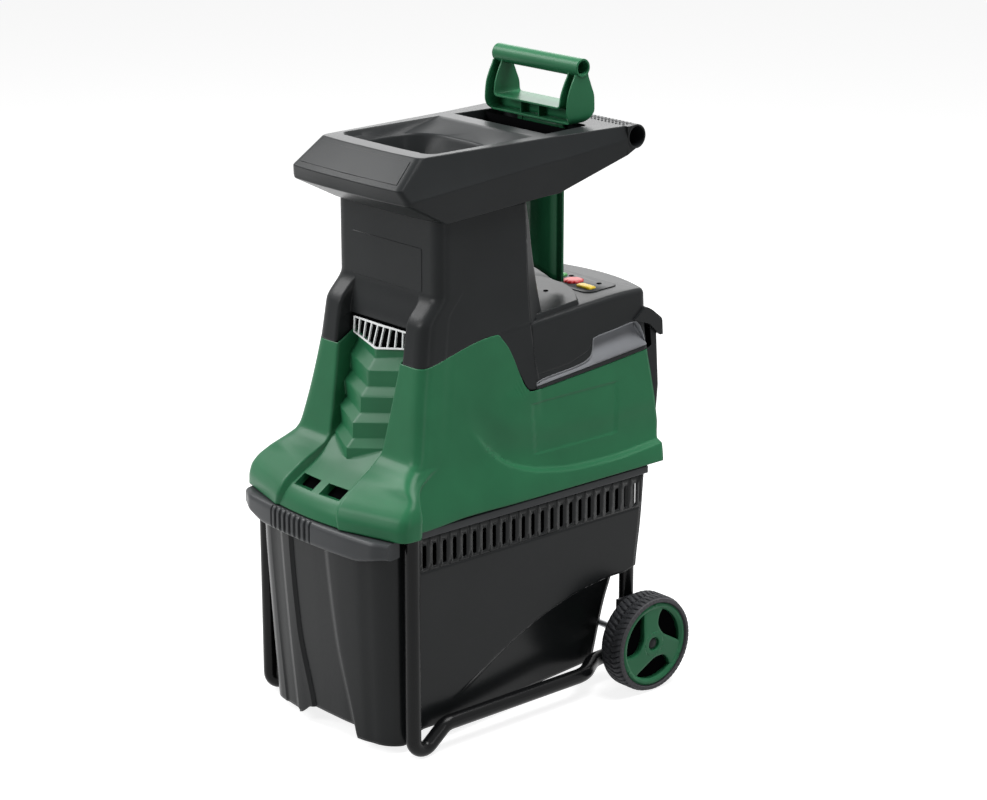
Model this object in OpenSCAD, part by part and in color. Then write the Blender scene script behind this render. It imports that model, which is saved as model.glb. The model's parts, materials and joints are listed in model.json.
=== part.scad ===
// Garden shredder on a tubular frame with two wheels.
// A feed tray and chute stand over a slow cutting drum that a geared motor turns.
// The chippings fall into a box that slides out to the front.
// Millimetres, +Z up, front towards -Y, origin under the middle of the machine.
// The modules measure Y from the front legs; machine() moves the whole to its origin.

/* [Frame] */
// Outer diameter of the frame tubes
tube_d = 24; // [20:0.5:26]
// Wall of the frame tubes
tube_wall = 1.6; // [1:0.1:2.5]
// Distance between the front legs, axis to axis
leg_span = 361; // [350:1:380]
// Height of the side rails above the floor, on the axis
rail_z = 41; // [38:0.5:46]
// Bend radius of the front foot, on the axis
foot_r = 20; // [17:0.5:24]
// Slope of the tube between the foot and the rail, in degrees
foot_rise = 38; // [30:1:45]
// Distance from the front legs to the rear posts
post_y = 482; // [478:1:490]
// Sideways step of each rail, which brings the rear post inside the wheel
post_inset = 35; // [34:0.5:38]

/* [Wheels] */
// Outside diameter of the tyres
wheel_d = 160; // [140:1:170]
// Width of the tyres
tyre_w = 48; // [36:1:56]
// Thickness of the tyre's tread ring
tyre_t = 10; // [7:0.5:14]
// Diameter of the wheel axle
axle_d = 12; // [10:0.5:16]
// Diameter of the hub barrel
hub_d = 32; // [26:1:40]

/* [Collection box] */
// Height of the box's rim above the floor
box_top = 358.5; // [350:0.5:362]
// Height of the box's floor above the floor
box_bottom = 31; // [28:1:40]
// Wall of the box
box_wall = 3; // [2:0.25:4]
// Height of the rim flange along each side
flange_h = 15; // [10:1:20]
// Number of air slots in each side
slot_count = 23; // [15:1:23]
// Spacing of the air slots
slot_pitch = 20.1; // [16:0.1:20.5]
// Width of an air slot
slot_w = 8; // [5:0.5:11]
// Height of an air slot
slot_h = 37; // [24:1:44]
// How far the grip bar reaches in front of the legs
grip_reach = 66; // [60:1:74]
// Height of the grip bar
grip_h = 40; // [30:1:46]
// Depth of the recess in the lower rear of each side
recess_depth = 34; // [33:0.5:40]

/* [Body] */
// Wall of the moulded covers
cover_wall = 3.5; // [2.5:0.25:4.5]
// Gap between the box's rim and the apron that hangs in front of it
rim_gap = 1; // [0.5:0.25:3]
// Height of the cover's side edges above the apron's edge
skirt_step = 6.5; // [4:0.5:10]
// Half width of the cover at that edge
skirt_w = 173; // [172:0.5:178]
// Height of the seam between the green cover and the chute
seam_z = 595; // [585:1:605]
// Rise of that seam towards the rear
seam_rise = 29; // [20:1:34]
// Height of the motor cover's top
body_top = 642; // [640:1:652]
// Distance from the front legs to the cover's rear face
body_rear = 548; // [540:1:552]
// How far the rear lip reaches behind the front legs
rear_reach = 583; // [578:1:592]
// Half width of the stepped channel between the columns
channel_w = 76; // [70:1:80]

/* [Chute and tray] */
// Width of the chute
tower_w = 248; // [240:1:256]
// Height of the chute's top
tower_top = 822; // [810:1:840]
// Distance from the top of the chute to the top of the tray
tray_h = 94; // [88:1:104]
// Half width of the tray at its rear end
tray_rear_w = 151; // [146:1:158]
// Distance from the front legs to the grip tube
grip_tube_y = 485; // [482:1:494]
// Outer diameter of the grip tube
grip_tube_d = 38; // [34:1:42]
// Bore of the grip tube
grip_tube_bore = 30; // [26:1:32]

/* [Plunger] */
// Distance from the front legs to the plunger's middle
plunger_y = 415; // [410:1:420]
// Height of the handle's axis above the tray
handle_rise = 90; // [80:1:110]
// Diameter of the handle
handle_d = 30; // [26:1:34]
// Half width of the plunger's blade
blade_w = 53; // [45:1:60]
// Length of the plunger's blade below the tray
blade_len = 260; // [180:1:262]

/* [Controls] */
// Travel of the push buttons
press = 3; // [2:0.25:4]
// Diameter of the stop button
stop_d = 26; // [20:1:28]
// Diameter of the start button
start_d = 18; // [14:1:20]
// Length of the reversing button
reverse_l = 26; // [20:1:28]

/* [Cutting unit] */
// Height of the drum's axis
drum_z = 480; // [470:1:485]
// Diameter over the drum's blades
drum_d = 100; // [90:1:104]
// Number of blades on the drum
blade_count = 8; // [6:1:10]
// Diameter of the drum's shaft
shaft_d = 20; // [16:0.5:22]
// Outer diameter of the drum's bearings
bearing_d = 42; // [36:1:46]
// Travel of the counter plate
plate_travel = 4; // [2:0.5:5]

/* [Drive] */
// Teeth of the motor pinion and of the layshaft pinion
pinion_teeth = 18; // [18:1:20]
// Teeth of the layshaft wheel
lay_teeth = 72; // [60:1:72]
// Teeth of the drum wheel
drum_teeth = 63; // [60:1:63]
// Tooth module of the motor stage
module_one = 1.25; // [1:0.05:1.3]
// Tooth module of the drum stage
module_two = 2.25; // [2:0.05:2.3]
// Height of the motor's axis above the drum's
motor_rise = 60; // [56:1:62]
// Outer diameter of the stator
stator_d = 124; // [116:1:130]
// Length of the stator
stator_l = 80; // [60:1:90]

/* [Hidden] */
$fn = 64;
run_gap = 0.05;
seam_gap = 0.4;
slide_gap = 0.3;
leg_gap = 1;
edge = 1;
corner_n = 7;
bow_n = 10;

tube_r = tube_d / 2;
leg_x = leg_span / 2;
post_x = leg_x - post_inset;
machine_y = (grip_reach - rear_reach) / 2;
wheel_r = wheel_d / 2;
axle_z = wheel_r;
axle_r = axle_d / 2;

apron_z = box_top + rim_gap;
skirt_z = apron_z + skirt_step;

// The deck lies inside the lower edge of the cover and carries the machinery.
deck_t = 6;
deck_z = skirt_z;
deck_top = deck_z + deck_t;
leg_top = deck_top + 6;
post_top = deck_top + 24;

// Outline tables of the body: height, then half width or distance from the legs.
column_z = seam_z - 149;
pod_knee_z = seam_z + 45;
pod_top = seam_z + 97;
grip_line_z = seam_z - 70;
side_line = [
    [skirt_z, skirt_w], [column_z, skirt_w - 22], [seam_z, tower_w / 2 + 5],
    [body_top, tower_w / 2 + 2], [pod_top, tower_w / 2]
];
column_line = [
    [skirt_z, 22], [column_z, 46], [seam_z, 74], [pod_knee_z, 83], [pod_top, 104]
];
tower_front_line = [[grip_line_z, 93], [pod_knee_z, 93], [pod_top, 103], [tower_top, 105]];
tower_rear_line = [[grip_line_z, 299], [seam_z + 33, 291], [seam_z + 87, 281], [tower_top, 280]];
apron_w = leg_x + tube_r + cover_wall + edge;
apron_side_line = [
    [apron_z, apron_w], [apron_z + 26, apron_w - 1], [apron_z + 41, apron_w - 5],
    [apron_z + 64, apron_w - 24], [apron_z + 76, apron_w - 44], [column_z + 6, 137]
];
apron_front_line = [
    [apron_z, -60], [apron_z + 16, -58], [apron_z + 31, -51], [apron_z + 41, -38],
    [apron_z + 64, 0], [apron_z + 76, 19], [column_z + 6, 46]
];
column_corner = 22;
rear_corner = 36;

// Seam of the green cover, seen from the side, from front to rear.
wedge_y = 222;
wedge_foot_y = 280;
seam_foot = 10;
grip_rise = 20;
rear_seam_y = body_rear - 18;
rear_seam_z = grip_line_z + grip_rise - 4;
seam_foot_z = grip_line_z - 4;
function rear_seam(y) =
    lerp(seam_foot_z, rear_seam_z, (y - wedge_foot_y - seam_foot) / (rear_seam_y - wedge_foot_y - seam_foot));
seam_line = [
    [81, seam_z + 2], [wedge_y, seam_z + seam_rise], [240, seam_z + 5], [254, seam_z - 22],
    [269, seam_z - 50], [wedge_foot_y, grip_line_z], [wedge_foot_y + seam_foot, seam_foot_z],
    [rear_seam_y, rear_seam_z]
];

// Collection box.
rim_w = leg_x - tube_r - leg_gap;
box_w = rim_w - 4.5;
box_low_w = box_w - 6;
box_front = 18 - grip_reach;
box_rear = post_y - tube_r - 3;
box_rear_line = [
    [box_bottom, box_rear - 42], [box_bottom + 102, box_rear - 14], [box_bottom + 141, box_rear], [box_top, box_rear]
];
rear_wall_z = box_top - 31;
slot_z = box_top - 43.5;
slot_first = (box_rear + 14) / 2 + 20 - (slot_count - 1) * slot_pitch / 2;
lip_z = box_top - 8;
lip_w = 10;
fin_rear = box_rear + 37;
fin_low = box_bottom + 159;
fin_lean = 14;

// Runners under the deck carry the box by its inner lips.
runner_x = box_w - box_wall - lip_w - 6;
runner_t = 3;
ledge_w = lip_w;
runner_front = 24;
runner_rear = box_rear - 6;

// Tray.
tray_top = tower_top + tray_h;
tray_bottom = tower_top - 9;
funnel_z = tower_top + 30;
feed_x = 84;
feed_front = 112;
feed_rear = 226;
// The bowl's ramp ends at the throat, and the throat leads down to the feed hole.
throat_z = tray_top - 20;
throat_x = feed_x + 9;
throat_front = feed_front - 5;
funnel_x = throat_x + 16;
funnel_front = throat_front - 10;
funnel_rear = feed_rear + 77;
tube_z = tray_top - 18;
slot_x = 102;
slot_front = funnel_rear + 17;
slot_rear = plunger_y + 25;

// Plunger.
handle_z = tray_top + handle_rise;
base_z = tray_top + slide_gap;
base_h = 14;
base_w = slot_x + 15;
blade_r = 70;
blade_t = 5;

// Cutting unit.
cut_front = 98;
cut_plate = 12;
drum_front = cut_front + cut_plate + 4;
drum_l = 98;
cut_rear = drum_front + drum_l + 4 + cut_plate;
cut_w = drum_d / 2 + 22;
cut_top = drum_z + 98;
shaft_r = shaft_d / 2;
bearing_r = bearing_d / 2;

// Gear train: the layshaft lies where both centre distances are met.
dist_one = module_one * (pinion_teeth + lay_teeth) / 2;
dist_two = module_two * (pinion_teeth + drum_teeth) / 2;
lay_up = (dist_two * dist_two - dist_one * dist_one + motor_rise * motor_rise) / (2 * motor_rise);
lay_x = sqrt(dist_two * dist_two - lay_up * lay_up);
motor_z = drum_z + motor_rise;
lay_z = drum_z + lay_up;
backlash = 0.5;
gear_front = cut_rear + slide_gap;
gear_wall = 5;
gear_gap = 4;
stage_two_y = gear_front + gear_wall + gear_gap;
stage_two_l = 16;
stage_one_y = stage_two_y + stage_two_l + gear_gap;
stage_one_l = 12;
gear_rear = stage_one_y + stage_one_l + gear_gap + gear_wall;
lay_shaft_r = 8;
rotor_shaft_r = 7;

// Motor.
shield_l = 28;
stator_y = gear_rear + shield_l;
rotor_r = stator_d / 2 - 27;
air_gap = 0.6;
shield_rear_y = stator_y + stator_l;
motor_bearing_r = 16;
motor_bearing_l = 10;
fan_y = shield_rear_y + shield_l + 5;
fan_l = 16;

// Controls, placed on top of the motor cover.
panel_t = 4;
panel_z = body_top + slide_gap;
button_top = panel_z + panel_t + press + 3;
start_at = [-18, 485];
stop_at = [18, 478];
reverse_at = [58, 472];
stem_d = 9;
block_top = body_top - cover_wall - press - 4;

cover_green = [0.13, 0.36, 0.22];
case_black = [0.13, 0.14, 0.14];
rim_grey = [0.30, 0.31, 0.33];
steel = [0.62, 0.63, 0.65];
copper = [0.72, 0.42, 0.22];

function lerp(a, b, t) = a + (b - a) * t;

// Points of an arc about a centre.
function arc(cx, cy, r, a0, a1) = [
    for (i = [0:corner_n])
        let (a = lerp(a0, a1, i / corner_n)) [cx + r * cos(a), cy + r * sin(a)]
];

// Plan outline with round corners and a bowed front, counterclockwise.
function plan(w, yf, yr, rf, rr, bow) = concat(
    [if (bow > 0) for (i = [1:bow_n - 1]) let (u = lerp(-1, 1, i / bow_n)) [u * (w - rf), yf + bow * u * u]],
    arc(w - rf, yf + bow + rf, rf, -90, 0),
    arc(w - rr, yr - rr, rr, 0, 90),
    arc(-(w - rr), yr - rr, rr, 90, 180),
    arc(-(w - rf), yf + bow + rf, rf, 180, 270)
);

function ring(outline, z) = [for (p = outline) [p[0], p[1], z]];

// Rectangle ring for tapering channels.
function rect_ring(x, y0, y1, z) = [[-x, y0, z], [x, y0, z], [x, y1, z], [-x, y1, z]];

// Solid through a stack of rings that have the same number of points.
module loft(rings) {
    n = len(rings[0]);
    m = len(rings);
    sides = [
        for (j = [0:m - 2], i = [0:n - 1])
            let (k = (i + 1) % n) [j * n + i, (j + 1) * n + i, (j + 1) * n + k, j * n + k]
    ];
    caps = [[for (i = [0:n - 1]) i], [for (i = [0:n - 1]) m * n - 1 - i]];
    polyhedron(points = [for (r = rings) each r], faces = concat(caps, sides), convexity = 12);
}

// Outline drawn in Y and Z, extruded across the machine from x0 to x1.
module side_plate(outline, x0, x1)
    translate([x0, 0, 0]) rotate([90, 0, 90]) linear_extrude(x1 - x0) polygon(outline);

// Outline drawn in X and Z, extruded to the rear from y0 to y1.
module front_plate(outline, y0, y1)
    translate([0, y1, 0]) rotate([90, 0, 0]) linear_extrude(y1 - y0) polygon(outline);

module span(lo, hi) translate(lo) cube(hi - lo);

// Cylinder along Y and along X.
module rod_y(x, z, y0, y1, r) translate([x, y0, z]) rotate([-90, 0, 0]) cylinder(r = r, h = y1 - y0);
module rod_x(y, z, x0, x1, r) translate([x0, y, z]) rotate([0, 90, 0]) cylinder(r = r, h = x1 - x0);

module machine() translate([0, machine_y, 0]) children();
module both() { children(); mirror([1, 0, 0]) children(); }

// Frame

// Centre line of a bent tube as a list of [position, x axis, y axis, roll].
// Each step is a straight length, a roll, a bend radius and a bend angle; a bend curves towards the x axis.
function tube_frames(steps, i, pos, ex, ey, ez, roll) =
    let (s = steps[i], p = pos + s[0] * ez)
    i == len(steps) - 1 ? [[p, ex, ey, roll]] :
    let (
        fx = cos(s[1]) * ex + sin(s[1]) * ey,
        fy = cos(s[1]) * ey - sin(s[1]) * ex,
        r = s[2],
        a = s[3],
        n = ceil(a / bend_step),
        turn = roll + s[1],
        bend = [for (k = [0:n]) let (b = a * k / n)
            [p + r * (1 - cos(b)) * fx + r * sin(b) * ez, cos(b) * fx - sin(b) * ez, fy, turn]]
    ) concat(bend, tube_frames(steps, i + 1, bend[n][0], bend[n][1], fy, cos(a) * ez + sin(a) * fx, turn));

function tube_ring(f, r) = [
    for (j = [0:tube_sides - 1])
        let (a = 360 * j / tube_sides - f[3]) f[0] + r * cos(a) * f[1] + r * sin(a) * f[2]
];

// Hollow tube: the outer skin runs to the far end and the inner skin runs back.
module bent_tube(frames, r, wall) {
    last = len(frames) - 1;
    rings = concat(
        [for (f = frames) tube_ring(f, r)],
        [for (k = [last:-1:0]) tube_ring(frames[k], r - wall)]
    );
    n = tube_sides;
    m = len(rings);
    faces = [
        for (j = [0:m - 1], i = [0:n - 1])
            let (k = (i + 1) % n, q = (j + 1) % m)
                each [[j * n + i, q * n + i, q * n + k], [j * n + i, q * n + k, j * n + k]]
    ];
    polyhedron(points = [for (g = rings) each g], faces = faces, convexity = 12);
}

bend_step = 15;
tube_sides = 18;
climb_r = 30;
jog_r = 60;
jog_a = 35;
post_r = 38;
jog_y = 340;
// The axle lies just inside the bend that leads up to the rear posts.
axle_y = post_y - post_r + sqrt(pow(post_r - tube_r - axle_r - slide_gap, 2) - pow(rail_z + post_r - axle_z, 2));
climb = (rail_z - tube_r - (foot_r + climb_r) * (1 - cos(foot_rise))) / sin(foot_rise);
rail_start = foot_r + foot_r * sin(foot_rise) + climb * cos(foot_rise) + climb_r * sin(foot_rise);
jog_l = (post_inset - 2 * jog_r * (1 - cos(jog_a))) / sin(jog_a);
jog_end = jog_y + 2 * jog_r * sin(jog_a) + jog_l * cos(jog_a);
frame_steps = [
    [leg_top - tube_r - foot_r, 0, foot_r, 90 + foot_rise],
    [climb, 180, climb_r, foot_rise],
    [jog_y - rail_start, 90, jog_r, jog_a],
    [jog_l, 180, jog_r, jog_a],
    [post_y - post_r - jog_end, -90, post_r, 90],
    [post_top - rail_z - post_r]
];

leg_start = [leg_x, 0, leg_top];
frame_path = concat(
    [[leg_start, [0, 1, 0], [1, 0, 0], 0]],
    tube_frames(frame_steps, 0, leg_start, [0, 1, 0], [1, 0, 0], [0, 0, -1], 0)
);
module side_frame() bent_tube(frame_path, tube_r, tube_wall);

module frame_right() color(case_black) machine() side_frame();
module frame_left() color(case_black) machine() mirror([1, 0, 0]) side_frame();

bracket_t = 4;
module axle_bracket() {
    x0 = post_x + tube_r;
    difference() {
        span([x0, post_y - 34, axle_z - 22], [x0 + bracket_t, post_y + tube_r, axle_z + 60]);
        rod_x(axle_y, axle_z, x0 - edge, x0 + bracket_t + edge, axle_r + run_gap);
    }
}
module axle_bracket_right() color(case_black) machine() axle_bracket();
module axle_bracket_left() color(case_black) machine() mirror([1, 0, 0]) axle_bracket();

// Wheels
wheel_in = leg_x + 5.5;
wheel_out = wheel_in + tyre_w;
barrel_in = post_x + tube_r + bracket_t + slide_gap;
axle_end = wheel_out - 10;
rim_r = wheel_r - tyre_t;
spoke_count = 3;

module wheel_axle() color(steel) machine() rod_x(axle_y, axle_z, -axle_end, axle_end, axle_r);

module at_wheel() translate([0, axle_y, axle_z]) rotate([0, 90, 0]) children();

tyre_round = 6;
module tyre()
    at_wheel() translate([0, 0, wheel_in]) rotate_extrude() polygon([
        [rim_r, 0], [wheel_r - tyre_round, 0], [wheel_r, tyre_round],
        [wheel_r, tyre_w - tyre_round], [wheel_r - tyre_round, tyre_w], [rim_r, tyre_w]
    ]);
module tyre_right() color("black") machine() tyre();
module tyre_left() color("black") machine() mirror([1, 0, 0]) tyre();

rim_t = 5;
web_t = 7;
web_x = wheel_out - 14;
module wheel_hub()
    difference() {
        at_wheel() {
            translate([0, 0, wheel_in + 4]) difference() {
                cylinder(r = rim_r, h = tyre_w - 6);
                translate([0, 0, -edge]) cylinder(r = rim_r - rim_t, h = tyre_w);
            }
            translate([0, 0, web_x]) cylinder(r = rim_r - rim_t / 2, h = web_t);
            translate([0, 0, barrel_in]) cylinder(d = hub_d, h = wheel_out - 6 - barrel_in);
        }
        at_wheel() {
            translate([0, 0, barrel_in - edge]) cylinder(r = axle_r + run_gap, h = wheel_out);
            for (i = [0:spoke_count - 1])
                rotate([0, 0, 60 + 360 / spoke_count * i]) translate([0, 0, web_x - edge])
                    linear_extrude(web_t + 2 * edge) leaf_opening();
        }
    }
// Opening between two spokes: a ring sector with its ends drawn in.
module leaf_opening() {
    inner = hub_d / 2 + 10;
    outer = rim_r - rim_t - 4;
    difference() {
        circle(r = outer);
        circle(r = inner);
        for (s = [-1, 1])
            rotate([0, 0, 46 * s]) translate([0, s > 0 ? 0 : -2 * outer]) square(2 * outer);
        translate([-2 * outer, -outer]) square([2 * outer, 2 * outer]);
    }
}
module wheel_hub_right() color(cover_green) machine() wheel_hub();
module wheel_hub_left() color(cover_green) machine() mirror([1, 0, 0]) wheel_hub();

cap_r = hub_d / 2 - 3;
module hub_cap()
    at_wheel() translate([0, 0, wheel_out - 6]) rotate_extrude()
        polygon([[0, 0], [cap_r, 0], [cap_r, 2], [cap_r - 4, 5], [0, 5]]);
module hub_cap_right() color(case_black) machine() hub_cap();
module hub_cap_left() color(case_black) machine() mirror([1, 0, 0]) hub_cap();

// Deck and runners

deck_w = lookup(deck_top, side_line) - cover_wall - seam_gap;
deck_rear = body_rear - cover_wall - seam_gap;
deck_front = -tube_r - deck_t;
ear_rear = tube_r + edge - seam_gap;
discharge_x = drum_d / 2 + 10;
module deck()
    color(case_black) machine() difference() {
        union() {
            translate([0, 0, deck_z]) linear_extrude(deck_t)
                polygon(plan(deck_w, ear_rear, deck_rear, ear_rear, rear_corner, 0));
            span([-deck_w, deck_front, deck_z], [deck_w, 2 * ear_rear + deck_t, deck_top]);
            span([-leg_x + 2, deck_front, deck_z], [leg_x - 2, ear_rear, deck_top]);
        }
        span([-discharge_x, drum_front, deck_z - edge], [discharge_x, drum_front + drum_l, deck_top + edge]);
        both() {
            translate([leg_x, 0, deck_z - edge]) cylinder(r = tube_r + run_gap, h = deck_t + 2 * edge);
            translate([post_x, post_y, deck_z - edge]) cylinder(r = tube_r + run_gap, h = deck_t + 2 * edge);
        }
    }

ledge_top = lip_z - slide_gap;
module box_runner()
    front_plate([
        [runner_x, deck_z], [runner_x, ledge_top - runner_t], [runner_x + runner_t + ledge_w, ledge_top - runner_t],
        [runner_x + runner_t + ledge_w, ledge_top], [runner_x + runner_t, ledge_top], [runner_x + runner_t, deck_z]
    ], runner_front, runner_rear);
module box_runner_right() color(rim_grey) machine() box_runner();
module box_runner_left() color(rim_grey) machine() mirror([1, 0, 0]) box_runner();

// Collection box

box_corner = 28;
box_bow = 14;
function box_ring(z, t) =
    let (
        u = (z - box_bottom) / (box_top - box_bottom),
        w = lerp(box_low_w, box_w, u) - t,
        yf = lerp(box_front + 16, box_front, u) + t,
        yr = lookup(z, box_rear_line) - t
    ) ring(plan(w, yf, yr, box_corner - t, 14 - t, box_bow), z);

// Lower rear of each side: the region under a rising arc, deeper towards the rear.
arc_front = 93;
arc_rear = box_rear - 20;
arc_low = box_bottom + 34;
arc_high = box_bottom + 154;
arc_points = 9;
function arc_line(d) = [
    for (i = [0:arc_points])
        let (u = i / arc_points) [lerp(arc_front, arc_rear, u), lerp(arc_low, arc_high, sin(90 * u)) + d]
];
recess_turn = atan(recess_depth / (arc_rear - arc_front));
module side_recess(t)
    both() intersection() {
        side_plate(concat(arc_line(t), [[fin_rear + 60, arc_high + t], [fin_rear + 60, 0], [arc_front, 0]]), 0, rim_w + 20);
        translate([box_w - t, arc_front, 0]) rotate([0, 0, recess_turn]) span([0, 0, 0], [3 * recess_depth, 900, arc_high + 60]);
    }

module box_outer(t)
    difference() {
        loft([
            box_ring(box_bottom + t, t), box_ring(box_rear_line[1][0], t), box_ring(box_rear_line[2][0], t),
            box_ring(t > 0 ? box_top + edge : box_top, t)
        ]);
        side_recess(t);
    }

grip_ends = leg_x + tube_r;
grip_bow = 40;
grip_arc_r = (grip_ends * grip_ends + grip_bow * grip_bow) / (2 * grip_bow);
grip_depth = 30;
grip_top = apron_z - 5;
module grip_bar()
    intersection() {
        translate([0, grip_arc_r - grip_reach, 0]) rotate([0, 0, -150]) rotate_extrude(angle = 120, $fn = 180)
            polygon([
                [grip_arc_r, grip_top - grip_h + 8], [grip_arc_r, grip_top - 16], [grip_arc_r - 10, grip_top - 2],
                [grip_arc_r - 16, grip_top], [grip_arc_r - grip_depth, grip_top],
                [grip_arc_r - grip_depth, grip_top - 8], [grip_arc_r - 12, grip_top - 14], [grip_arc_r - 6, grip_top - grip_h]
            ]);
        span([-grip_ends, -grip_reach - edge, 0], [grip_ends, -tube_r - leg_gap, box_top]);
    }

foot_z = 13;
foot_x = 84;
module box_side_rim() {
    span([box_w - box_wall, 16, box_top - flange_h], [rim_w, fin_rear + 4, box_top]);
    span([box_w - box_wall - lip_w, runner_front + 2, lip_z], [box_w - 1, box_rear - 6, lip_z + 3]);
    side_plate([[box_rear - 30, box_top], [fin_rear, box_top], [fin_rear - fin_lean, fin_low], [box_rear - 30, arc_high]],
        box_w - box_wall, box_w);
}
// Broad feet under the front corners follow the wall.
module box_feet()
    intersection() {
        loft([[for (q = box_ring(box_bottom, 0)) [q[0], q[1], foot_z]], box_ring(box_bottom + edge, 0)]);
        both() span([foot_x, -grip_reach, 0], [rim_w, box_front + 60, box_bottom + edge]);
    }

module air_slots()
    for (i = [0:slot_count - 1])
        translate([-rim_w - edge, slot_first + i * slot_pitch, slot_z]) rotate([90, 0, 90])
            linear_extrude(2 * rim_w + 2 * edge) {
                square([slot_w, slot_h - slot_w], center = true);
                for (s = [-1, 1]) translate([0, s * (slot_h - slot_w) / 2]) circle(d = slot_w);
            }

module collection_box()
    color(case_black) machine() difference() {
        union() {
            difference() {
                box_outer(0);
                box_outer(box_wall);
            }
            both() box_side_rim();
            box_feet();
            difference() {
                grip_bar();
                box_outer(box_wall);
            }
        }
        air_slots();
        span([-box_w + box_wall, box_rear - 40, rear_wall_z], [box_w - box_wall, box_rear + 2, box_top + edge]);
    }

// Body forms shared by the green cover, the chute and the motor cover

body_below = 20;
body_levels = [skirt_z, skirt_z + 34, column_z, seam_z - 75, seam_z];
function body_ring(z, t) = ring(
    plan(lookup(z, side_line) - t, lookup(z, column_line) + t, body_rear - t, column_corner - t, rear_corner - t, 0), z);
module body_form(t)
    loft(concat(
        t > 0 ? [body_ring(skirt_z - body_below, t)] : [],
        [for (z = body_levels) body_ring(z, t)],
        [body_ring(body_top - t, t)]
    ));

apron_levels = [16, 26, 41, 64, 76];
apron_rear = 150;
function apron_ring(z, t) = ring(
    plan(lookup(z, apron_side_line) - t, lookup(z, apron_front_line) + t, apron_rear - t, 48 - t, 14 - t, 12), z);
module apron_dome(t)
    loft(concat(
        [apron_ring(t > 0 ? apron_z - 10 : apron_z, t)],
        [for (h = apron_levels) apron_ring(apron_z + h - t / 2, t)],
        [apron_ring(column_z + 6 - t, t)]
    ));
// Behind the legs the apron keeps within the sides of the body.
module side_limit(t)
    loft([for (z = [apron_z - 20, skirt_z, column_z, column_z + 20]) ring(
        plan(lookup(z, side_line) - t, -apron_rear, 2 * apron_rear, 5, 5, 0), z)]);
apron_back = tube_r + cover_wall + edge;
module apron_form(t)
    intersection() {
        apron_dome(t);
        union() {
            span([-apron_w - edge, -apron_rear, 0], [apron_w + edge, apron_back - t, seam_z]);
            side_limit(t);
        }
    }

// Stepped channel between the columns; its steps are chevrons that point forward.
step_count = 5;
step_y = 15;
step_z = 38;
riser_h = 25;
chevron_y = 22;
chevron_z = 10;
channel_top = seam_z + 43;
function step_line(t) = [
    for (i = [0:step_count - 1]) each [
        [80 - i * step_y + t, seam_z + 10 - i * step_z],
        [78.4 - i * step_y + t, seam_z + 10 - riser_h - i * step_z]
    ]
];
function channel_section(x, t) =
    let (dy = chevron_y * abs(x) / channel_w, dz = chevron_z * abs(x) / channel_w)
    [for (p = concat([[-90, channel_top], [84 + t, channel_top]], step_line(t), [[-90, seam_z - 184 - t]]))
        [x, p[0] + dy, p[1] + dz]];
module channel_void(t)
    intersection() {
        loft([for (x = [channel_w + t, 0, -channel_w - t]) channel_section(x, t)]);
        span([-channel_w - t, -80, 300], [channel_w + t, 200, channel_top - 1]);
    }

shelf_hole_x = 45;
shelf_hole_y = 38;
shelf_hole_at = [32, -36];
module green_cover()
    color(cover_green) machine() difference() {
        intersection() {
            difference() {
                union() {
                    body_form(0);
                    apron_form(0);
                }
                channel_void(0);
            }
            side_plate(concat([[-100, 0], [-100, seam_z]], seam_line, [[rear_seam_y, 0]]), -apron_w - 10, apron_w + 10);
        }
        difference() {
            union() {
                body_form(cover_wall);
                apron_form(cover_wall);
            }
            channel_void(cover_wall);
        }
        both() translate([shelf_hole_at[0], shelf_hole_at[1], apron_z + 40])
            cube([shelf_hole_x, shelf_hole_y, 60], center = true);
        rod_x(screw_y, drum_z, -skirt_w, 0, screw_r + slide_gap);
    }

// White grille in the top of the channel, bent to a shallow V in front of the chute
grille_w = channel_w - 5;
grille_gaps = 9;
grille_bar = 3;
grille_low = seam_z + 3;
grille_high = channel_top - 3;
grille_turn = 8;
grille_y = lookup(seam_z, tower_front_line) - seam_gap - grille_w * sin(grille_turn) - grille_bar;
grille_step = (grille_w - grille_bar) / (grille_gaps / 2);
function grille_base(x) = grille_low + grille_bar + chevron_z * x / grille_w;
module vent_grille()
    color("white") machine() both() translate([0, grille_y, 0]) rotate([0, 0, grille_turn]) difference() {
        front_plate([
            [0, grille_low], [grille_w, grille_low + chevron_z], [grille_w, grille_high], [0, grille_high]
        ], 0, grille_bar);
        for (i = [0:floor(grille_gaps / 2)])
            let (x0 = i == 0 ? -edge : (i - 0.5) * grille_step + grille_bar, x1 = (i + 0.5) * grille_step)
                front_plate([
                    [x0, grille_base(max(x0, 0))], [x1, grille_base(x1)],
                    [x1, grille_high - grille_bar], [x0, grille_high - grille_bar]
                ], -edge, grille_bar + edge);
    }

// Chute

tower_levels = [grip_line_z - 10, seam_z, pod_knee_z, pod_top, tower_top];
function tower_ring(z, t, end) = ring(
    plan(lookup(z, side_line) - t, lookup(z, tower_front_line) + t, lookup(z, tower_rear_line) - t, 28 - t, 8 - t, 0), z - end);
module tower_form(t)
    loft([for (z = tower_levels) tower_ring(z, t, z == tower_top ? t : 0)]);
pod_levels = [seam_z - 16, seam_z, pod_knee_z, pod_top];
module pod_form(t)
    difference() {
        loft([for (z = pod_levels) ring(
            plan(lookup(z, side_line) - t, lookup(z, column_line) + t, 200, column_corner - t, 14, 0),
            z == pod_top ? z - t : z)]);
        span([-channel_w - t, 0, 0], [channel_w + t, lookup(pod_knee_z, tower_front_line) + t + 12, pod_top + edge]);
    }
above_seam = concat(
    [for (p = seam_line) [p[0], p[1] + seam_gap]],
    [[rear_seam_y, tower_top + 20], [0, tower_top + 20], [0, seam_z + seam_gap]]
);
chute_low = cut_top + seam_gap;
liner_t = 3;
module chute_liner(t, end)
    loft([
        rect_ring(cut_w - 10 + t, drum_front - 4 - t, drum_front + drum_l + 4 + t, chute_low - end),
        rect_ring(feed_x + t, feed_front - t, feed_rear + t, tower_top - (end > 0 ? -end : edge))
    ]);
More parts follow.
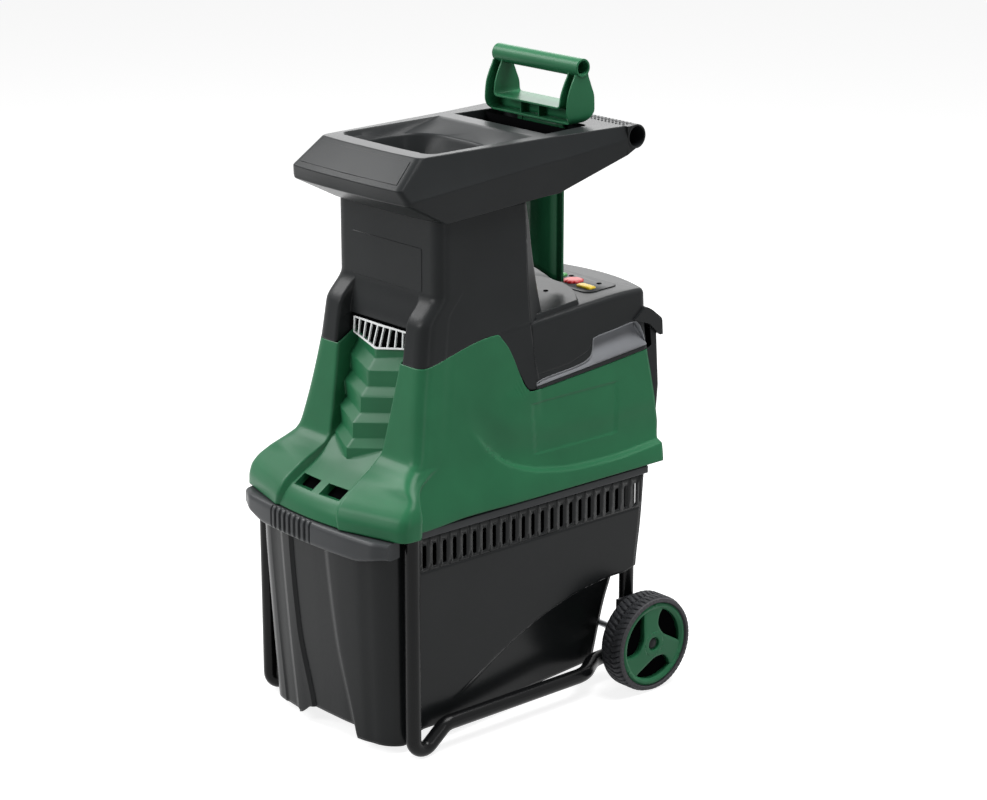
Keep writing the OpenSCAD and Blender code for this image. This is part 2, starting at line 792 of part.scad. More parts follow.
module chute_tower()
    color(case_black) machine() difference() {
        union() {
            intersection() {
                difference() {
                    union() {
                        tower_form(0);
                        pod_form(0);
                    }
                    tower_form(cover_wall);
                    pod_form(cover_wall);
                    span([-tower_w / 2 + 1, 255, grip_line_z - 20], [tower_w / 2 - 1, 320, body_top - 12]);
                    span([-channel_w + 10, 60, seam_z], [channel_w - 10, 130, channel_top - 4]);
                }
                side_plate(above_seam, -skirt_w, skirt_w);
            }
            chute_liner(liner_t, 0);
        }
        chute_liner(0, edge);
    }

// Tray

tray_points = [
    [112, 76, tray_top - 1], [tray_rear_w - 6, grip_tube_y + 6, tray_top], [122, 28, tray_top - 42],
    [132, 36, tray_top - 59], [132, 36, tray_top - 65], [tray_rear_w, grip_tube_y + 6, tray_top - 20],
    [tower_w / 2 + 11, 108, tray_bottom], [tower_w / 2 + 16, 348, tray_bottom + 17],
    [tray_rear_w - 1, grip_tube_y + 6, tray_top - 46]
];
tray_bow = [[0, 21, tray_top - 42], [0, 69, tray_top - 1], [0, 29, tray_top - 59], [0, 29, tray_top - 65]];
module tray_form(t)
    hull() for (p = concat(tray_points, [for (q = tray_points) [-q[0], q[1], q[2]]], tray_bow))
        translate([
            p[0] - sign(p[0]) * t, p[1] + (p[1] < 200 ? t : -t),
            p[2] - (p[2] > tray_top - 50 ? t : 30 * sign(t))
        ]) cube(0.2, center = true);

module funnel(t)
    loft([
        rect_ring(feed_x + t, feed_front - t, feed_rear + t, tower_top),
        rect_ring(feed_x + t, feed_front - t, feed_rear + t, funnel_z - t),
        rect_ring(throat_x + t, throat_front - t, feed_rear + t, throat_z - t),
        rect_ring(funnel_x + t, funnel_front - t, funnel_rear + t, tray_top)
    ]);
module tray_slot(t)
    span([-slot_x - t, slot_front - t, tray_top - 40], [slot_x + t, slot_rear + t, tray_top + edge]);
module hopper_tray()
    color(case_black) machine() difference() {
        union() {
            difference() {
                tray_form(0);
                tray_form(cover_wall);
            }
            intersection() {
                funnel(liner_t);
                tray_form(0);
            }
            intersection() {
                tray_slot(liner_t);
                tray_form(0);
            }
            rod_x(grip_tube_y, tube_z, -tray_rear_w, tray_rear_w, grip_tube_d / 2);
        }
        funnel(0);
        span([-feed_x, feed_front, tower_top - 60], [feed_x, feed_rear, tower_top + edge]);
        span([-funnel_x, funnel_front, tray_top - edge], [funnel_x, funnel_rear, tray_top + 5]);
        tray_slot(0);
        rod_x(grip_tube_y, tube_z, -tray_rear_w - edge, tray_rear_w + edge, grip_tube_bore / 2);
    }

// Motor cover and rear

behind_tower = concat(
    [for (p = tower_rear_line) if (p[0] < body_top) [p[1] + seam_gap, p[0]]],
    [[lookup(body_top, tower_rear_line) + seam_gap, body_top + edge], [rear_reach + 20, body_top + edge],
     [rear_reach + 20, rear_seam(rear_reach + 20) + seam_gap],
     [wedge_foot_y + 2 * seam_foot, rear_seam(wedge_foot_y + 2 * seam_foot) + seam_gap]]
);
grip_floor = tower_w / 2 - 6;
grip_outline = [
    [306, grip_line_z + 6], [306, grip_line_z + 20], [354, grip_line_z + 20], [391, grip_line_z + 30],
    [411, grip_line_z + 49], [413, grip_line_z + 57], [500, grip_line_z + 64], [512, grip_line_z + 45], [512, grip_line_z + 21]
];
module motor_cover()
    color(case_black) machine() difference() {
        intersection() {
            body_form(0);
            side_plate(behind_tower, -skirt_w, skirt_w);
        }
        body_form(cover_wall);
        both() side_plate(grip_outline, grip_floor, skirt_w);
        for (p = [start_at, stop_at, reverse_at])
            translate([p[0], p[1], body_top - 20]) cylinder(d = stem_d + 2 * slide_gap, h = 40);
    }

// A cup in each side of the motor cover gives the hands a hold.
grip_t = 3;
module grip_block(inset, x0)
    translate([x0, 0, 0]) rotate([90, 0, 90]) linear_extrude(skirt_w - x0) offset(delta = -inset) polygon(grip_outline);
module side_grip()
    intersection() {
        body_form(0);
        difference() {
            grip_block(seam_gap, grip_floor - grip_t);
            grip_block(seam_gap + grip_t, grip_floor);
        }
    }
module side_grip_right() color(rim_grey) machine() side_grip();
module side_grip_left() color(rim_grey) machine() mirror([1, 0, 0]) side_grip();

// Black rear wall of the body, with louvres and the inlet
vent_count = 7;
vent_pitch = 13;
vent_h = 6;
vent_x = 40;
vent_l = 58;
vent_low = skirt_z + 40;
inlet_w = 44;
inlet_h = 34;
inlet_l = 22;
inlet_t = 4;
inlet_z = grip_line_z - 30;
module inlet_block(d, y0, y1)
    span([-inlet_w / 2 - d, y0, inlet_z - inlet_h / 2 - d], [inlet_w / 2 + d, y1, inlet_z + inlet_h / 2 + d]);
module rear_panel()
    color(case_black) machine() difference() {
        intersection() {
            body_form(0);
            side_plate([
                [rear_seam_y + seam_gap, 0], [body_rear + edge, 0],
                [body_rear + edge, rear_seam_z], [rear_seam_y + seam_gap, rear_seam_z]
            ], -skirt_w, skirt_w);
        }
        body_form(cover_wall);
        for (i = [0:vent_count - 1], s = [-1, 1])
            translate([s * (vent_x + vent_l / 2), body_rear, vent_low + i * vent_pitch])
                cube([vent_l, 4 * cover_wall, vent_h], center = true);
        inlet_block(slide_gap, body_rear - 2 * cover_wall, body_rear + inlet_l);
    }

module mains_inlet()
    color("dimgray") machine() difference() {
        inlet_block(0, body_rear - 2 * cover_wall, body_rear - 2 * cover_wall + inlet_l);
        inlet_block(-inlet_t, body_rear - cover_wall, body_rear + inlet_l);
    }

lip_low = grip_line_z + 35;
lip_high = grip_line_z + 75;
lip_half = tower_w / 2 + 11;
module rear_lip()
    color(case_black) machine() difference() {
        translate([0, 0, lip_low]) linear_extrude(lip_high - lip_low)
            polygon(plan(lip_half, body_rear - 44, rear_reach, 4, 34, 0));
        translate([0, 0, lip_low - edge]) linear_extrude(lip_high - lip_low - 4 + edge)
            polygon(plan(lip_half - 5, body_rear - 60, rear_reach - 5, 4, 30, 0));
        body_form(-seam_gap);
    }

// Controls

panel_w = 84;
panel_front = 450;
panel_rear = 512;
reverse_w = 15;
module reverse_section(d) square([reverse_l + 2 * d, reverse_w + 2 * d], center = true);
module switch_panel()
    color(case_black) machine() difference() {
        translate([0, 0, panel_z]) linear_extrude(panel_t) polygon(plan(panel_w, panel_front, panel_rear, 8, 14, 0));
        for (p = [[start_at, start_d], [stop_at, stop_d]])
            translate([p[0][0], p[0][1], panel_z - edge]) cylinder(d = p[1] + 2 * slide_gap, h = panel_t + 2 * edge);
        translate([reverse_at[0], reverse_at[1], panel_z - edge]) linear_extrude(panel_t + 2 * edge) reverse_section(slide_gap);
    }

// A button's stem goes down through the motor cover towards its switch.
module button(at) {
    translate([at[0], at[1], panel_z + press + 0.5]) linear_extrude(button_top - panel_z - press - 0.5) children();
    translate([at[0], at[1], block_top + press + 1]) cylinder(d = stem_d, h = panel_z - block_top);
}
module start_button() color("green") machine() button(start_at) circle(d = start_d);
module stop_button() color("red") machine() button(stop_at) circle(d = stop_d);
module reverse_button() color("gold") machine() button(reverse_at) reverse_section(0);

module switch_block()
    color(rim_grey) machine() {
        span([-36, panel_front + 8, block_top - 26], [reverse_at[0] + 14, panel_rear - 12, block_top]);
        for (x = [-30, reverse_at[0] + 8])
            span([x - 3, panel_front + 10, block_top - edge], [x + 3, panel_front + 16, body_top - cover_wall]);
    }

// Plunger

cheek_t = 22;
module plunger_handle()
    color(cover_green) machine() difference() {
        union() {
            rod_x(plunger_y + 5, handle_z, -base_w + 19, base_w - 19, handle_d / 2);
            both() front_plate([
                [base_w - 19 - cheek_t, handle_z], [base_w - 19, handle_z], [base_w - 12, base_z + 40],
                [base_w, base_z + base_h], [base_w - cheek_t - 8, base_z + base_h], [base_w - cheek_t - 14, base_z + 40]
            ], plunger_y - 10, plunger_y + 20);
            difference() {
                span([-base_w, plunger_y - 25, base_z], [base_w, plunger_y + 22, base_z + base_h]);
                for (i = [-4:4])
                    span([i * 24 - 9, plunger_y - 26, base_z + 4], [i * 24 + 9, plunger_y - 17, base_z + base_h - 3]);
            }
        }
        rod_x(plunger_y + 5, handle_z, -base_w, base_w, handle_d / 2 - 4);
    }

// Blade with a curved section and a rib along each edge, hung under the base.
module plunger_blade()
    color(cover_green) machine() translate([0, plunger_y + 8, base_z - blade_len]) linear_extrude(blade_len) {
        intersection() {
            translate([0, -blade_r]) difference() {
                circle(r = blade_r, $fn = 128);
                circle(r = blade_r - blade_t, $fn = 128);
            }
            translate([-blade_w, -blade_r]) square([2 * blade_w, 2 * blade_r]);
        }
        for (x = [-1, 1]) translate([x * (blade_w - 4), blade_edge_y]) square([8, 9], center = true);
    }
blade_edge_y = sqrt(blade_r * blade_r - blade_w * blade_w) - blade_r;

// Cutting unit

module cutter_housing()
    color("slategray") machine() difference() {
        span([-cut_w, cut_front, deck_top], [cut_w, cut_rear, cut_top]);
        span([-cut_w + 6, cut_front + cut_plate, deck_top - edge], [cut_w - 6, cut_rear - cut_plate, cut_top + edge]);
        rod_y(0, drum_z, cut_front - edge, cut_rear + edge, bearing_r + run_gap);
        rod_x(screw_y, drum_z, -cut_w - edge, -cut_w + 10, screw_r + slide_gap);
    }

module bearing(x, z, y, outer, inner, l)
    difference() {
        rod_y(x, z, y, y + l, outer);
        rod_y(x, z, y - edge, y + l + edge, inner + run_gap);
    }
module front_bearing() color(steel) machine() bearing(0, drum_z, cut_front, bearing_r, shaft_r, cut_plate);
module rear_bearing() color(steel) machine() bearing(0, drum_z, cut_rear - cut_plate, bearing_r, shaft_r, cut_plate);

drum_core = drum_d / 2 - 14;
blade_back = 4;
blade_foot = 9;
blade_tip = 3;
module cutter_drum()
    color("gray") machine() difference() {
        union() {
            rod_y(0, drum_z, drum_front, drum_front + drum_l, drum_core);
            for (i = [0:blade_count - 1])
                translate([0, drum_front, drum_z]) rotate([0, 360 / blade_count * i, 0])
                    front_plate([
                        [-blade_back, shaft_d], [blade_foot, shaft_d], [blade_tip, drum_d / 2], [-blade_back, drum_d / 2 - 1]
                    ], edge, drum_l - edge);
        }
        rod_y(0, drum_z, drum_front - edge, drum_front + drum_l + edge, shaft_r);
    }
shaft_end = stage_two_y + stage_two_l + 2;
module cutter_shaft() color(steel) machine() rod_y(0, drum_z, cut_front - 6, shaft_end, shaft_r);

// The counter plate stands beside the drum and is set by a screw with a knob.
plate_gap = plate_travel + 1;
plate_t = 8;
plate_x = -drum_d / 2 - plate_gap;
screw_y = drum_front + drum_l / 2;
screw_r = 7.5;
knob_r = 22;
knob_l = 15;
knob_ribs = 12;
knob_rib_r = 2.5;
knob_x = -lookup(drum_z - knob_r - knob_rib_r, side_line) - edge - knob_l;
module counter_plate()
    color("gray") machine() {
        span([plate_x - plate_t, drum_front + 2, drum_z - 40], [plate_x, drum_front + drum_l - 2, drum_z + 34]);
        rod_x(screw_y, drum_z, knob_x + 6, plate_x - plate_t + edge, screw_r);
    }
module adjuster_knob()
    color(case_black) machine() difference() {
        union() {
            rod_x(screw_y, drum_z, knob_x, knob_x + knob_l, knob_r);
            for (i = [0:knob_ribs - 1])
                translate([knob_x, screw_y, drum_z]) rotate([360 / knob_ribs * i, 0, 0])
                    translate([0, 0, knob_r]) rotate([0, 90, 0]) cylinder(r = knob_rib_r, h = knob_l);
        }
        rod_x(screw_y, drum_z, knob_x + 4, knob_x + 2 * knob_l, screw_r + run_gap);
    }
nut_r = 15;
nut_l = 14;
module adjuster_nut()
    color(steel) machine() difference() {
        rod_x(screw_y, drum_z, -cut_w - nut_l, -cut_w - slide_gap, nut_r, $fn = 6);
        rod_x(screw_y, drum_z, -cut_w - nut_l - edge, -cut_w, screw_r + run_gap);
    }

// Gears

// Involute flank: the half tooth angle at radius r, from the pitch radius, base radius and half tooth at pitch.
function inv(a) = tan(a) * 180 / PI - a;
function flank(r, base, half) = half - inv(acos(min(1, base / r)));
function tooth(n, mod, a) =
    let (
        pitch = mod * n / 2,
        base = pitch * cos(20),
        half = 90 / n - backlash / 2 / pitch * 180 / PI + inv(20),
        root = pitch - 1.25 * mod,
        tip = pitch + 0.95 * mod,
        radii = [max(root + 0.2, base), pitch - 0.3 * mod, pitch + 0.35 * mod, tip]
    ) concat(
        [[root * sin(a - 180 / n), root * cos(a - 180 / n)]],
        [for (r = radii) let (b = a - flank(r, base, half)) [r * sin(b), r * cos(b)]],
        [for (i = [3:-1:0]) let (b = a + flank(radii[i], base, half)) [radii[i] * sin(b), radii[i] * cos(b)]]
    );
// Gear about Y whose first tooth points to the angle that is measured from +Z towards +X.
module gear(n, mod, x, z, y, l, turn)
    translate([x, y, z]) front_plate([for (i = [0:n - 1]) each tooth(n, mod, turn + 360 * i / n)], 0, l);

to_lay = atan2(lay_x, lay_z - drum_z);
to_motor = atan2(-lay_x, motor_z - lay_z);

module drum_gear()
    color(steel) machine() difference() {
        gear(drum_teeth, module_two, 0, drum_z, stage_two_y, stage_two_l, to_lay);
        rod_y(0, drum_z, stage_two_y - edge, stage_two_y + stage_two_l + edge, shaft_r);
    }
module layshaft()
    color(steel) machine() {
        rod_y(lay_x, lay_z, gear_front + slide_gap, gear_rear - slide_gap, lay_shaft_r);
        gear(pinion_teeth, module_two, lay_x, lay_z, stage_two_y, stage_two_l, to_lay + 180 + 180 / pinion_teeth);
    }
module lay_gear()
    color(steel) machine() difference() {
        gear(lay_teeth, module_one, lay_x, lay_z, stage_one_y, stage_one_l, to_motor);
        rod_y(lay_x, lay_z, stage_one_y - edge, stage_one_y + stage_one_l + edge, lay_shaft_r);
    }

// Gearbox: a tall case on the deck with a front plate, both bored for the shafts.
case_x0 = -module_two * drum_teeth / 2 - 12;
case_x1 = lay_x + module_one * lay_teeth / 2 + 12;
case_top = lay_z + module_one * lay_teeth / 2 + 10;
module gearbox_front()
    color("slategray") machine() difference() {
        span([case_x0, gear_front, deck_top], [case_x1, gear_front + gear_wall, case_top]);
        rod_y(0, drum_z, gear_front - edge, gear_front + gear_wall + edge, shaft_r + run_gap);
        rod_y(lay_x, lay_z, gear_front - edge, gear_front + gear_wall + edge, lay_shaft_r + run_gap);
    }
module gearbox_housing()
    color("slategray") machine() difference() {
        span([case_x0, gear_front + gear_wall, deck_top], [case_x1, gear_rear, case_top]);
        span([case_x0 + gear_wall, gear_front, deck_top + gear_wall], [case_x1 - gear_wall, gear_rear - gear_wall, case_top - gear_wall]);
        rod_y(lay_x, lay_z, gear_front, gear_rear + edge, lay_shaft_r + run_gap);
        rod_y(0, motor_z, gear_front, gear_rear + edge, module_one * pinion_teeth / 2 + 4);
    }

// Motor

stator_r = stator_d / 2;
module motor_front_shield()
    color("silver") machine() difference() {
        rod_y(0, motor_z, gear_rear, stator_y, stator_r);
        rod_y(0, motor_z, gear_rear + motor_bearing_l + 4, stator_y + edge, stator_r - 6);
        rod_y(0, motor_z, gear_rear - edge, stator_y, motor_bearing_r + run_gap);
    }
module motor_rear_shield()
    color("silver") machine() difference() {
        rod_y(0, motor_z, shield_rear_y, shield_rear_y + shield_l, stator_r);
        rod_y(0, motor_z, shield_rear_y - edge, shield_rear_y + shield_l - motor_bearing_l - 4, stator_r - 6);
        rod_y(0, motor_z, shield_rear_y, shield_rear_y + shield_l + edge, motor_bearing_r + run_gap);
    }
module rotor_bearing_front() color(steel) machine()
    bearing(0, motor_z, gear_rear + 2, motor_bearing_r, rotor_shaft_r, motor_bearing_l);
module rotor_bearing_rear() color(steel) machine()
    bearing(0, motor_z, shield_rear_y + shield_l - motor_bearing_l - 2, motor_bearing_r, rotor_shaft_r, motor_bearing_l);

module stator()
    color("dimgray") machine() difference() {
        rod_y(0, motor_z, stator_y, shield_rear_y, stator_r);
        rod_y(0, motor_z, stator_y - edge, shield_rear_y + edge, rotor_r + air_gap);
    }
winding_l = 12;
module stator_winding()
    color(copper) machine() for (y = [stator_y - winding_l, shield_rear_y])
        difference() {
            rod_y(0, motor_z, y, y + winding_l, stator_r - 8);
            rod_y(0, motor_z, y - edge, y + winding_l + edge, rotor_r + 4);
        }
module rotor()
    color(steel) machine() {
        rod_y(0, motor_z, stator_y + 3, shield_rear_y - 3, rotor_r);
        rod_y(0, motor_z, stage_one_y + stage_one_l - edge, fan_y + fan_l + 2, rotor_shaft_r);
        gear(pinion_teeth, module_one, 0, motor_z, stage_one_y, stage_one_l, to_motor + 180 + 180 / pinion_teeth);
    }
fan_r = stator_r - 8;
fan_blades = 8;
module motor_fan()
    color("dimgray") machine() difference() {
        union() {
            rod_y(0, motor_z, fan_y, fan_y + 3, fan_r);
            rod_y(0, motor_z, fan_y, fan_y + fan_l, rotor_shaft_r + 6);
            for (i = [0:fan_blades - 1])
                translate([0, fan_y, motor_z]) rotate([0, 360 / fan_blades * i, 0])
                    span([-1.5, edge, rotor_shaft_r + 3], [1.5, fan_l - edge, fan_r - 2]);
        }
        rod_y(0, motor_z, fan_y - edge, fan_y + fan_l + edge, rotor_shaft_r);
    }

capacitor_at = [-100, 420];
capacitor_r = 20;
module capacitor()
    color("white") machine() translate([capacitor_at[0], capacitor_at[1], deck_top]) {
        cylinder(r = capacitor_r, h = 88);
        for (x = [-1, 1]) translate([x * 7 - 1.5, -3, 88]) cube([3, 6, 9]);
    }

// Safety switch that closes when the box is home
module interlock_switch()
    color("dimgray") machine() {
        span([96, 20, deck_z - 14], [120, 42, deck_z]);
        span([104, 14, deck_z - 12], [112, 20, deck_z - 4]);
    }

// Fasteners

bolt_r = 6;
bolt_h = 5;
module frame_bolts()
    color(steel) machine() both() for (p = [[post_x, post_y], [leg_x, 0]])
        translate([p[0] - tube_r - 3 * bolt_r, p[1], deck_top]) cylinder(r = bolt_r, h = bolt_h, $fn = 6);
module panel_screws()
    color(steel) machine() for (p = [[-panel_w + 10, panel_front + 9], [panel_w - 10, panel_front + 9],
        [-panel_w + 12, panel_rear - 11], [panel_w - 12, panel_rear - 11]])
        translate([p[0], p[1], panel_z + panel_t]) cylinder(r = 3.5, h = 1.5);

frame_left();
frame_right();
axle_bracket_left();
axle_bracket_right();
wheel_axle();
tyre_left();
tyre_right();
wheel_hub_left();
wheel_hub_right();
hub_cap_left();
hub_cap_right();
deck();
box_runner_left();
box_runner_right();
collection_box();
green_cover();
vent_grille();
chute_tower();
hopper_tray();
motor_cover();
side_grip_left();
side_grip_right();
rear_panel();
rear_lip();
mains_inlet();
switch_panel();
switch_block();
start_button();
stop_button();
reverse_button();
plunger_handle();
plunger_blade();
cutter_housing();
cutter_drum();
cutter_shaft();
front_bearing();
rear_bearing();
counter_plate();
adjuster_knob();
adjuster_nut();
gearbox_front();
gearbox_housing();
drum_gear();
layshaft();
lay_gear();
motor_front_shield();
motor_rear_shield();
stator();
stator_winding();
rotor();
rotor_bearing_front();
rotor_bearing_rear();
motor_fan();
capacitor();
interlock_switch();
frame_bolts();
panel_screws();
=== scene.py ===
# %% [markdown]
# # A garden shredder, dressed as surfaces
# The machine stands on two bent tubes and two wheels. A feed tray and a chute lead down to a cutting
# drum in a green moulded body, and the chippings fall into a box that slides out to the front.
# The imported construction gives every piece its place. Here the visible pieces get their moulded
# shapes and finishes, and the drive inside keeps its shape and gets a finish.

# %% The frame
import json
import math

import bmesh
import bpy
import numpy as np
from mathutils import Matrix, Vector


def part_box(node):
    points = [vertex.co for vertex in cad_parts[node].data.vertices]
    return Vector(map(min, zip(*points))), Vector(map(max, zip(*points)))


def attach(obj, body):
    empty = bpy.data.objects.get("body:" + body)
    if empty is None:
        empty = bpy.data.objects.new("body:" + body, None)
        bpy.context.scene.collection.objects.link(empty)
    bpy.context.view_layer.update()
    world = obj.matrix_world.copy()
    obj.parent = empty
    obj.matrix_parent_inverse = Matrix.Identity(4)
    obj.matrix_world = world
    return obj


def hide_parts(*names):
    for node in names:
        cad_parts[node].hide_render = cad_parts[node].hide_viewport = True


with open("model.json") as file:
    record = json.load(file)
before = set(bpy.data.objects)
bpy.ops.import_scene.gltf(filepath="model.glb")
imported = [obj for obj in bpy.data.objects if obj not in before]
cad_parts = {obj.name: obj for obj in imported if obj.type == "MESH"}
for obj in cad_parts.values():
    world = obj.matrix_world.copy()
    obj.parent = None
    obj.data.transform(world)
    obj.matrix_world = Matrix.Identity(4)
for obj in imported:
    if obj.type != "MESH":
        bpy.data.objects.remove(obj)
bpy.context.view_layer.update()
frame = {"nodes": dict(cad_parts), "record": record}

# %% [markdown]
# ## Where things are measured from
# A moulder's drawing has one datum. Here it is the axis of the two front legs: sizes are millimetres,
# X runs across the machine, Y from the legs to the rear, Z up from the floor. The legs are found in the
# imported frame, so the shapes follow it.

# %% Datum
MM = 0.001
TUBE_R = 12.0
leg_lo, leg_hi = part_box("frame_right")
LEG_Y = leg_lo.y / MM + TUBE_R
LEG_X = leg_hi.x / MM - TUBE_R
POST_Y = leg_hi.y / MM - TUBE_R - LEG_Y
print(f"front legs at x {LEG_X:.1f}, y {LEG_Y:.1f}; rear posts {POST_Y:.1f} behind them")

# %% [markdown]
# ## Finishes
# The covers are moulded in grained plastic: the tool is etched, so the skin has a fine grain, a soft
# gloss and a slight drift of colour where the melt flowed. The grain is a noise of about a millimetre,
# read from object coordinates, which stay put when a piece moves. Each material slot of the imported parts
# has its finish, and a few pieces have one of their own.

# %% Finishes
DRIFT_SCALE, ROUGH_STRAY, GRAIN_HEIGHT = 9.0, 0.08, 0.0004


def light(screen):
    """A colour picked on screen, from 0 to 255, as linear light."""
    c = np.array(screen) / 255
    return np.where(c <= 0.04045, c / 12.92, ((c + 0.055) / 1.055) ** 2.4)


def put(node, values):
    """Sets a node's sockets by their names."""
    for socket, value in values.items():
        node.inputs[socket].default_value = value


def finish(name, screen, rough, gloss=0.5, metal=0.0, grain=1500.0, depth=0.06, drift=0.10):
    """Grained finish: fine bump, a slow drift of the colour and a patchy roughness, all from noise."""
    material = bpy.data.materials.new(name)
    material.use_nodes = True
    nodes, links = material.node_tree.nodes, material.node_tree.links
    shader = nodes["Principled BSDF"]
    put(shader, {"Metallic": metal, "Specular IOR Level": gloss})
    place = nodes.new("ShaderNodeTexCoord")

    def noise(scale, detail):
        """Noise over the object's own coordinates."""
        made = nodes.new("ShaderNodeTexNoise")
        put(made, {"Scale": scale, "Detail": detail})
        links.new(place.outputs["Object"], made.inputs["Vector"])
        return made.outputs["Fac"]

    slow, fine = noise(DRIFT_SCALE, 3.0), noise(grain, 2.0)
    tint = nodes.new("ShaderNodeValToRGB")
    low, high = tint.color_ramp.elements
    low.position, high.position = 0.3, 0.7
    colour = light(screen)
    low.color = (*colour * (1 - drift), 1.0)
    high.color = (*np.minimum(1.0, colour * (1 + drift)), 1.0)
    links.new(slow, tint.inputs["Fac"])
    links.new(tint.outputs["Color"], shader.inputs["Base Color"])
    patch = nodes.new("ShaderNodeMapRange")
    put(patch, {"To Min": rough - ROUGH_STRAY, "To Max": rough + ROUGH_STRAY})
    links.new(fine, patch.inputs["Value"])
    links.new(patch.outputs["Result"], shader.inputs["Roughness"])
    bump = nodes.new("ShaderNodeBump")
    put(bump, {"Strength": depth, "Distance": GRAIN_HEIGHT})
    links.new(fine, bump.inputs["Height"])
    links.new(bump.outputs["Normal"], shader.inputs["Normal"])
    return material


SLOT_FINISH = {
    "green_plastic": finish("green_moulding", (41, 106, 71), 0.34, 0.16),
    "black_plastic": finish("black_moulding", (36, 38, 39), 0.33, 0.12),
    "grey_plastic": finish("grey_moulding", (128, 130, 134), 0.45, 0.3),
    "white_plastic": finish("white_moulding", (236, 238, 238), 0.40),
    "button_green": finish("green_button", (60, 150, 70), 0.38),
    "button_red": finish("red_button", (196, 18, 26), 0.35),
    "button_yellow": finish("yellow_button", (244, 208, 48), 0.38),
    "frame_paint": finish("frame_powder_coat", (14, 15, 16), 0.22, 0.16, grain=900.0, depth=0.05),
    "tyre": finish("tyre_rubber", (44, 45, 48), 0.62, 0.25, grain=700.0, depth=0.12),
    "steel": finish("machined_steel", (168, 170, 172), 0.30, metal=1.0, grain=600.0, drift=0.05),
    "cast_alloy": finish("cast_alloy", (150, 152, 154), 0.52, metal=1.0, grain=500.0, depth=0.2),
    "lamination": finish("stacked_sheet", (92, 90, 88), 0.5, metal=0.8, grain=400.0),
    "copper": finish("enamelled_copper", (176, 96, 48), 0.32, metal=1.0, grain=500.0),
}
# SHADE is a flat near-black that paints the shade behind openings; the screw heads share it.
SHADE = finish("inside_shade", (10, 10, 11), 0.9, 0.0)
BOX_BLACK = finish("box_moulding", (27, 29, 30), 0.24, 0.16)
RIM_GREY = finish("rim_moulding", (62, 64, 66), 0.34, 0.16)
SIDEWALL = finish("tyre_sidewall", (78, 77, 80), 0.6, 0.15, grain=700.0, depth=0.12)
for material in frame["record"]["materials"]:
    for node in material.get("nodes", []):
        mesh = frame["nodes"][node].data
        mesh.materials.clear()
        mesh.materials.append(SLOT_FINISH[material["slot"]])
print(len(SLOT_FINISH), "finishes by slot")

# %% [markdown]
# ## Skins
# A moulded cover is a thin skin, so a shape is worked out as grids of points: one parameter runs along
# the grid's rows, the other along its columns. A skin gathers such grids, welds the edges they share,
# turns its faces outward and becomes one object. Numpy handles whole grids, which is fast and exact.

# %% The skin helper
class Skin:
    """Gathers grids of points in millimetres from the datum and welds them into one mesh."""

    def __init__(self):
        self.points, self.faces, self.count = [], [], 0

    def grid(self, points, wrap_u=False, wrap_v=False):
        """Quads between neighbours of a rows-by-columns grid; wrap joins the last line to the first."""
        points = np.asarray(points, float)
        rows, cols = points.shape[:2]
        i = np.arange(rows if wrap_u else rows - 1)[:, None]
        j = np.arange(cols if wrap_v else cols - 1)[None, :]
        i2, j2 = (i + 1) % rows, (j + 1) % cols
        quads = np.stack([i * cols + j, i * cols + j2, i2 * cols + j2, i2 * cols + j], -1)
        self.faces += (quads.reshape(-1, 4) + self.count).tolist()
        self.points.append(points.reshape(-1, 3))
        self.count += rows * cols
        return self

    def cap(self, ring):
        """One face over a closed ring of points."""
        self.faces.append(list(range(self.count, self.count + len(ring))))
        self.points.append(np.asarray(ring, float))
        self.count += len(ring)
        return self

    def tube(self, rings):
        """Closed rings joined in order, open at both ends."""
        return self.grid(rings, wrap_v=True)

    def plug(self, rings):
        """Closed rings joined in order, with a cap on both ends."""
        return self.tube(rings).cap(rings[0]).cap(rings[-1])

    def band(self, rings):
        """Closed rings joined in order, the last one to the first."""
        return self.grid(rings, wrap_u=True, wrap_v=True)

    def side(self, sign):
        """Puts everything so far on the right (1) or, as its image, on the left (-1)."""
        self.points = [points * (sign, 1.0, 1.0) for points in self.points]
        return self

    def mirror(self):
        """Adds the image of everything so far on the other side of x = 0."""
        image = np.concatenate(self.points) * (-1.0, 1.0, 1.0)
        self.faces += [[v + self.count for v in reversed(face)] for face in self.faces]
        self.points.append(image)
        self.count *= 2
        return self

    def piece(self, name, slot, finish=None, body="machine", nodes=(), wall=0.0, bevel=0.0, sharp=30.0,
              weld=0.02):
        """Makes the object: welded, faces outward, riding on its body and standing for its nodes."""
        mesh = bpy.data.meshes.new(name)
        places = (np.concatenate(self.points) + (0.0, LEG_Y, 0.0)) * MM
        mesh.from_pydata(places.tolist(), [], self.faces)
        work = bmesh.new()
        work.from_mesh(mesh)
        bmesh.ops.remove_doubles(work, verts=work.verts, dist=weld * MM)
        bmesh.ops.dissolve_degenerate(work, edges=work.edges, dist=weld * MM / 4)
        bmesh.ops.recalc_face_normals(work, faces=work.faces)
        middle = sum((v.co for v in work.verts), Vector()) / len(work.verts)
        outflow = sum(f.calc_area() * f.normal.dot(f.calc_center_median() - middle) for f in work.faces)
        if outflow < 0:
            bmesh.ops.reverse_faces(work, faces=work.faces)
        work.to_mesh(mesh)
        work.free()
        mesh.shade_smooth()
        mesh.set_sharp_from_angle(angle=math.radians(sharp))
        obj = bpy.data.objects.new(name, mesh)
        bpy.context.scene.collection.objects.link(obj)
        mesh.materials.append(finish or SLOT_FINISH[slot])
        if wall:
            skin = obj.modifiers.new("Wall", "SOLIDIFY")
            skin.thickness, skin.offset, skin.use_even_offset = wall * MM, -1.0, False
        if bevel:
            soft = obj.modifiers.new("Edges", "BEVEL")
            soft.width, soft.segments, soft.limit_method = bevel * MM, 2, "ANGLE"
            soft.angle_limit, soft.harden_normals = math.radians(sharp), True
        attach(obj, body)
        if nodes:
            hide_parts(*nodes)
        print(f"{name}: {len(mesh.vertices)} points, {len(mesh.polygons)} faces")
        return obj


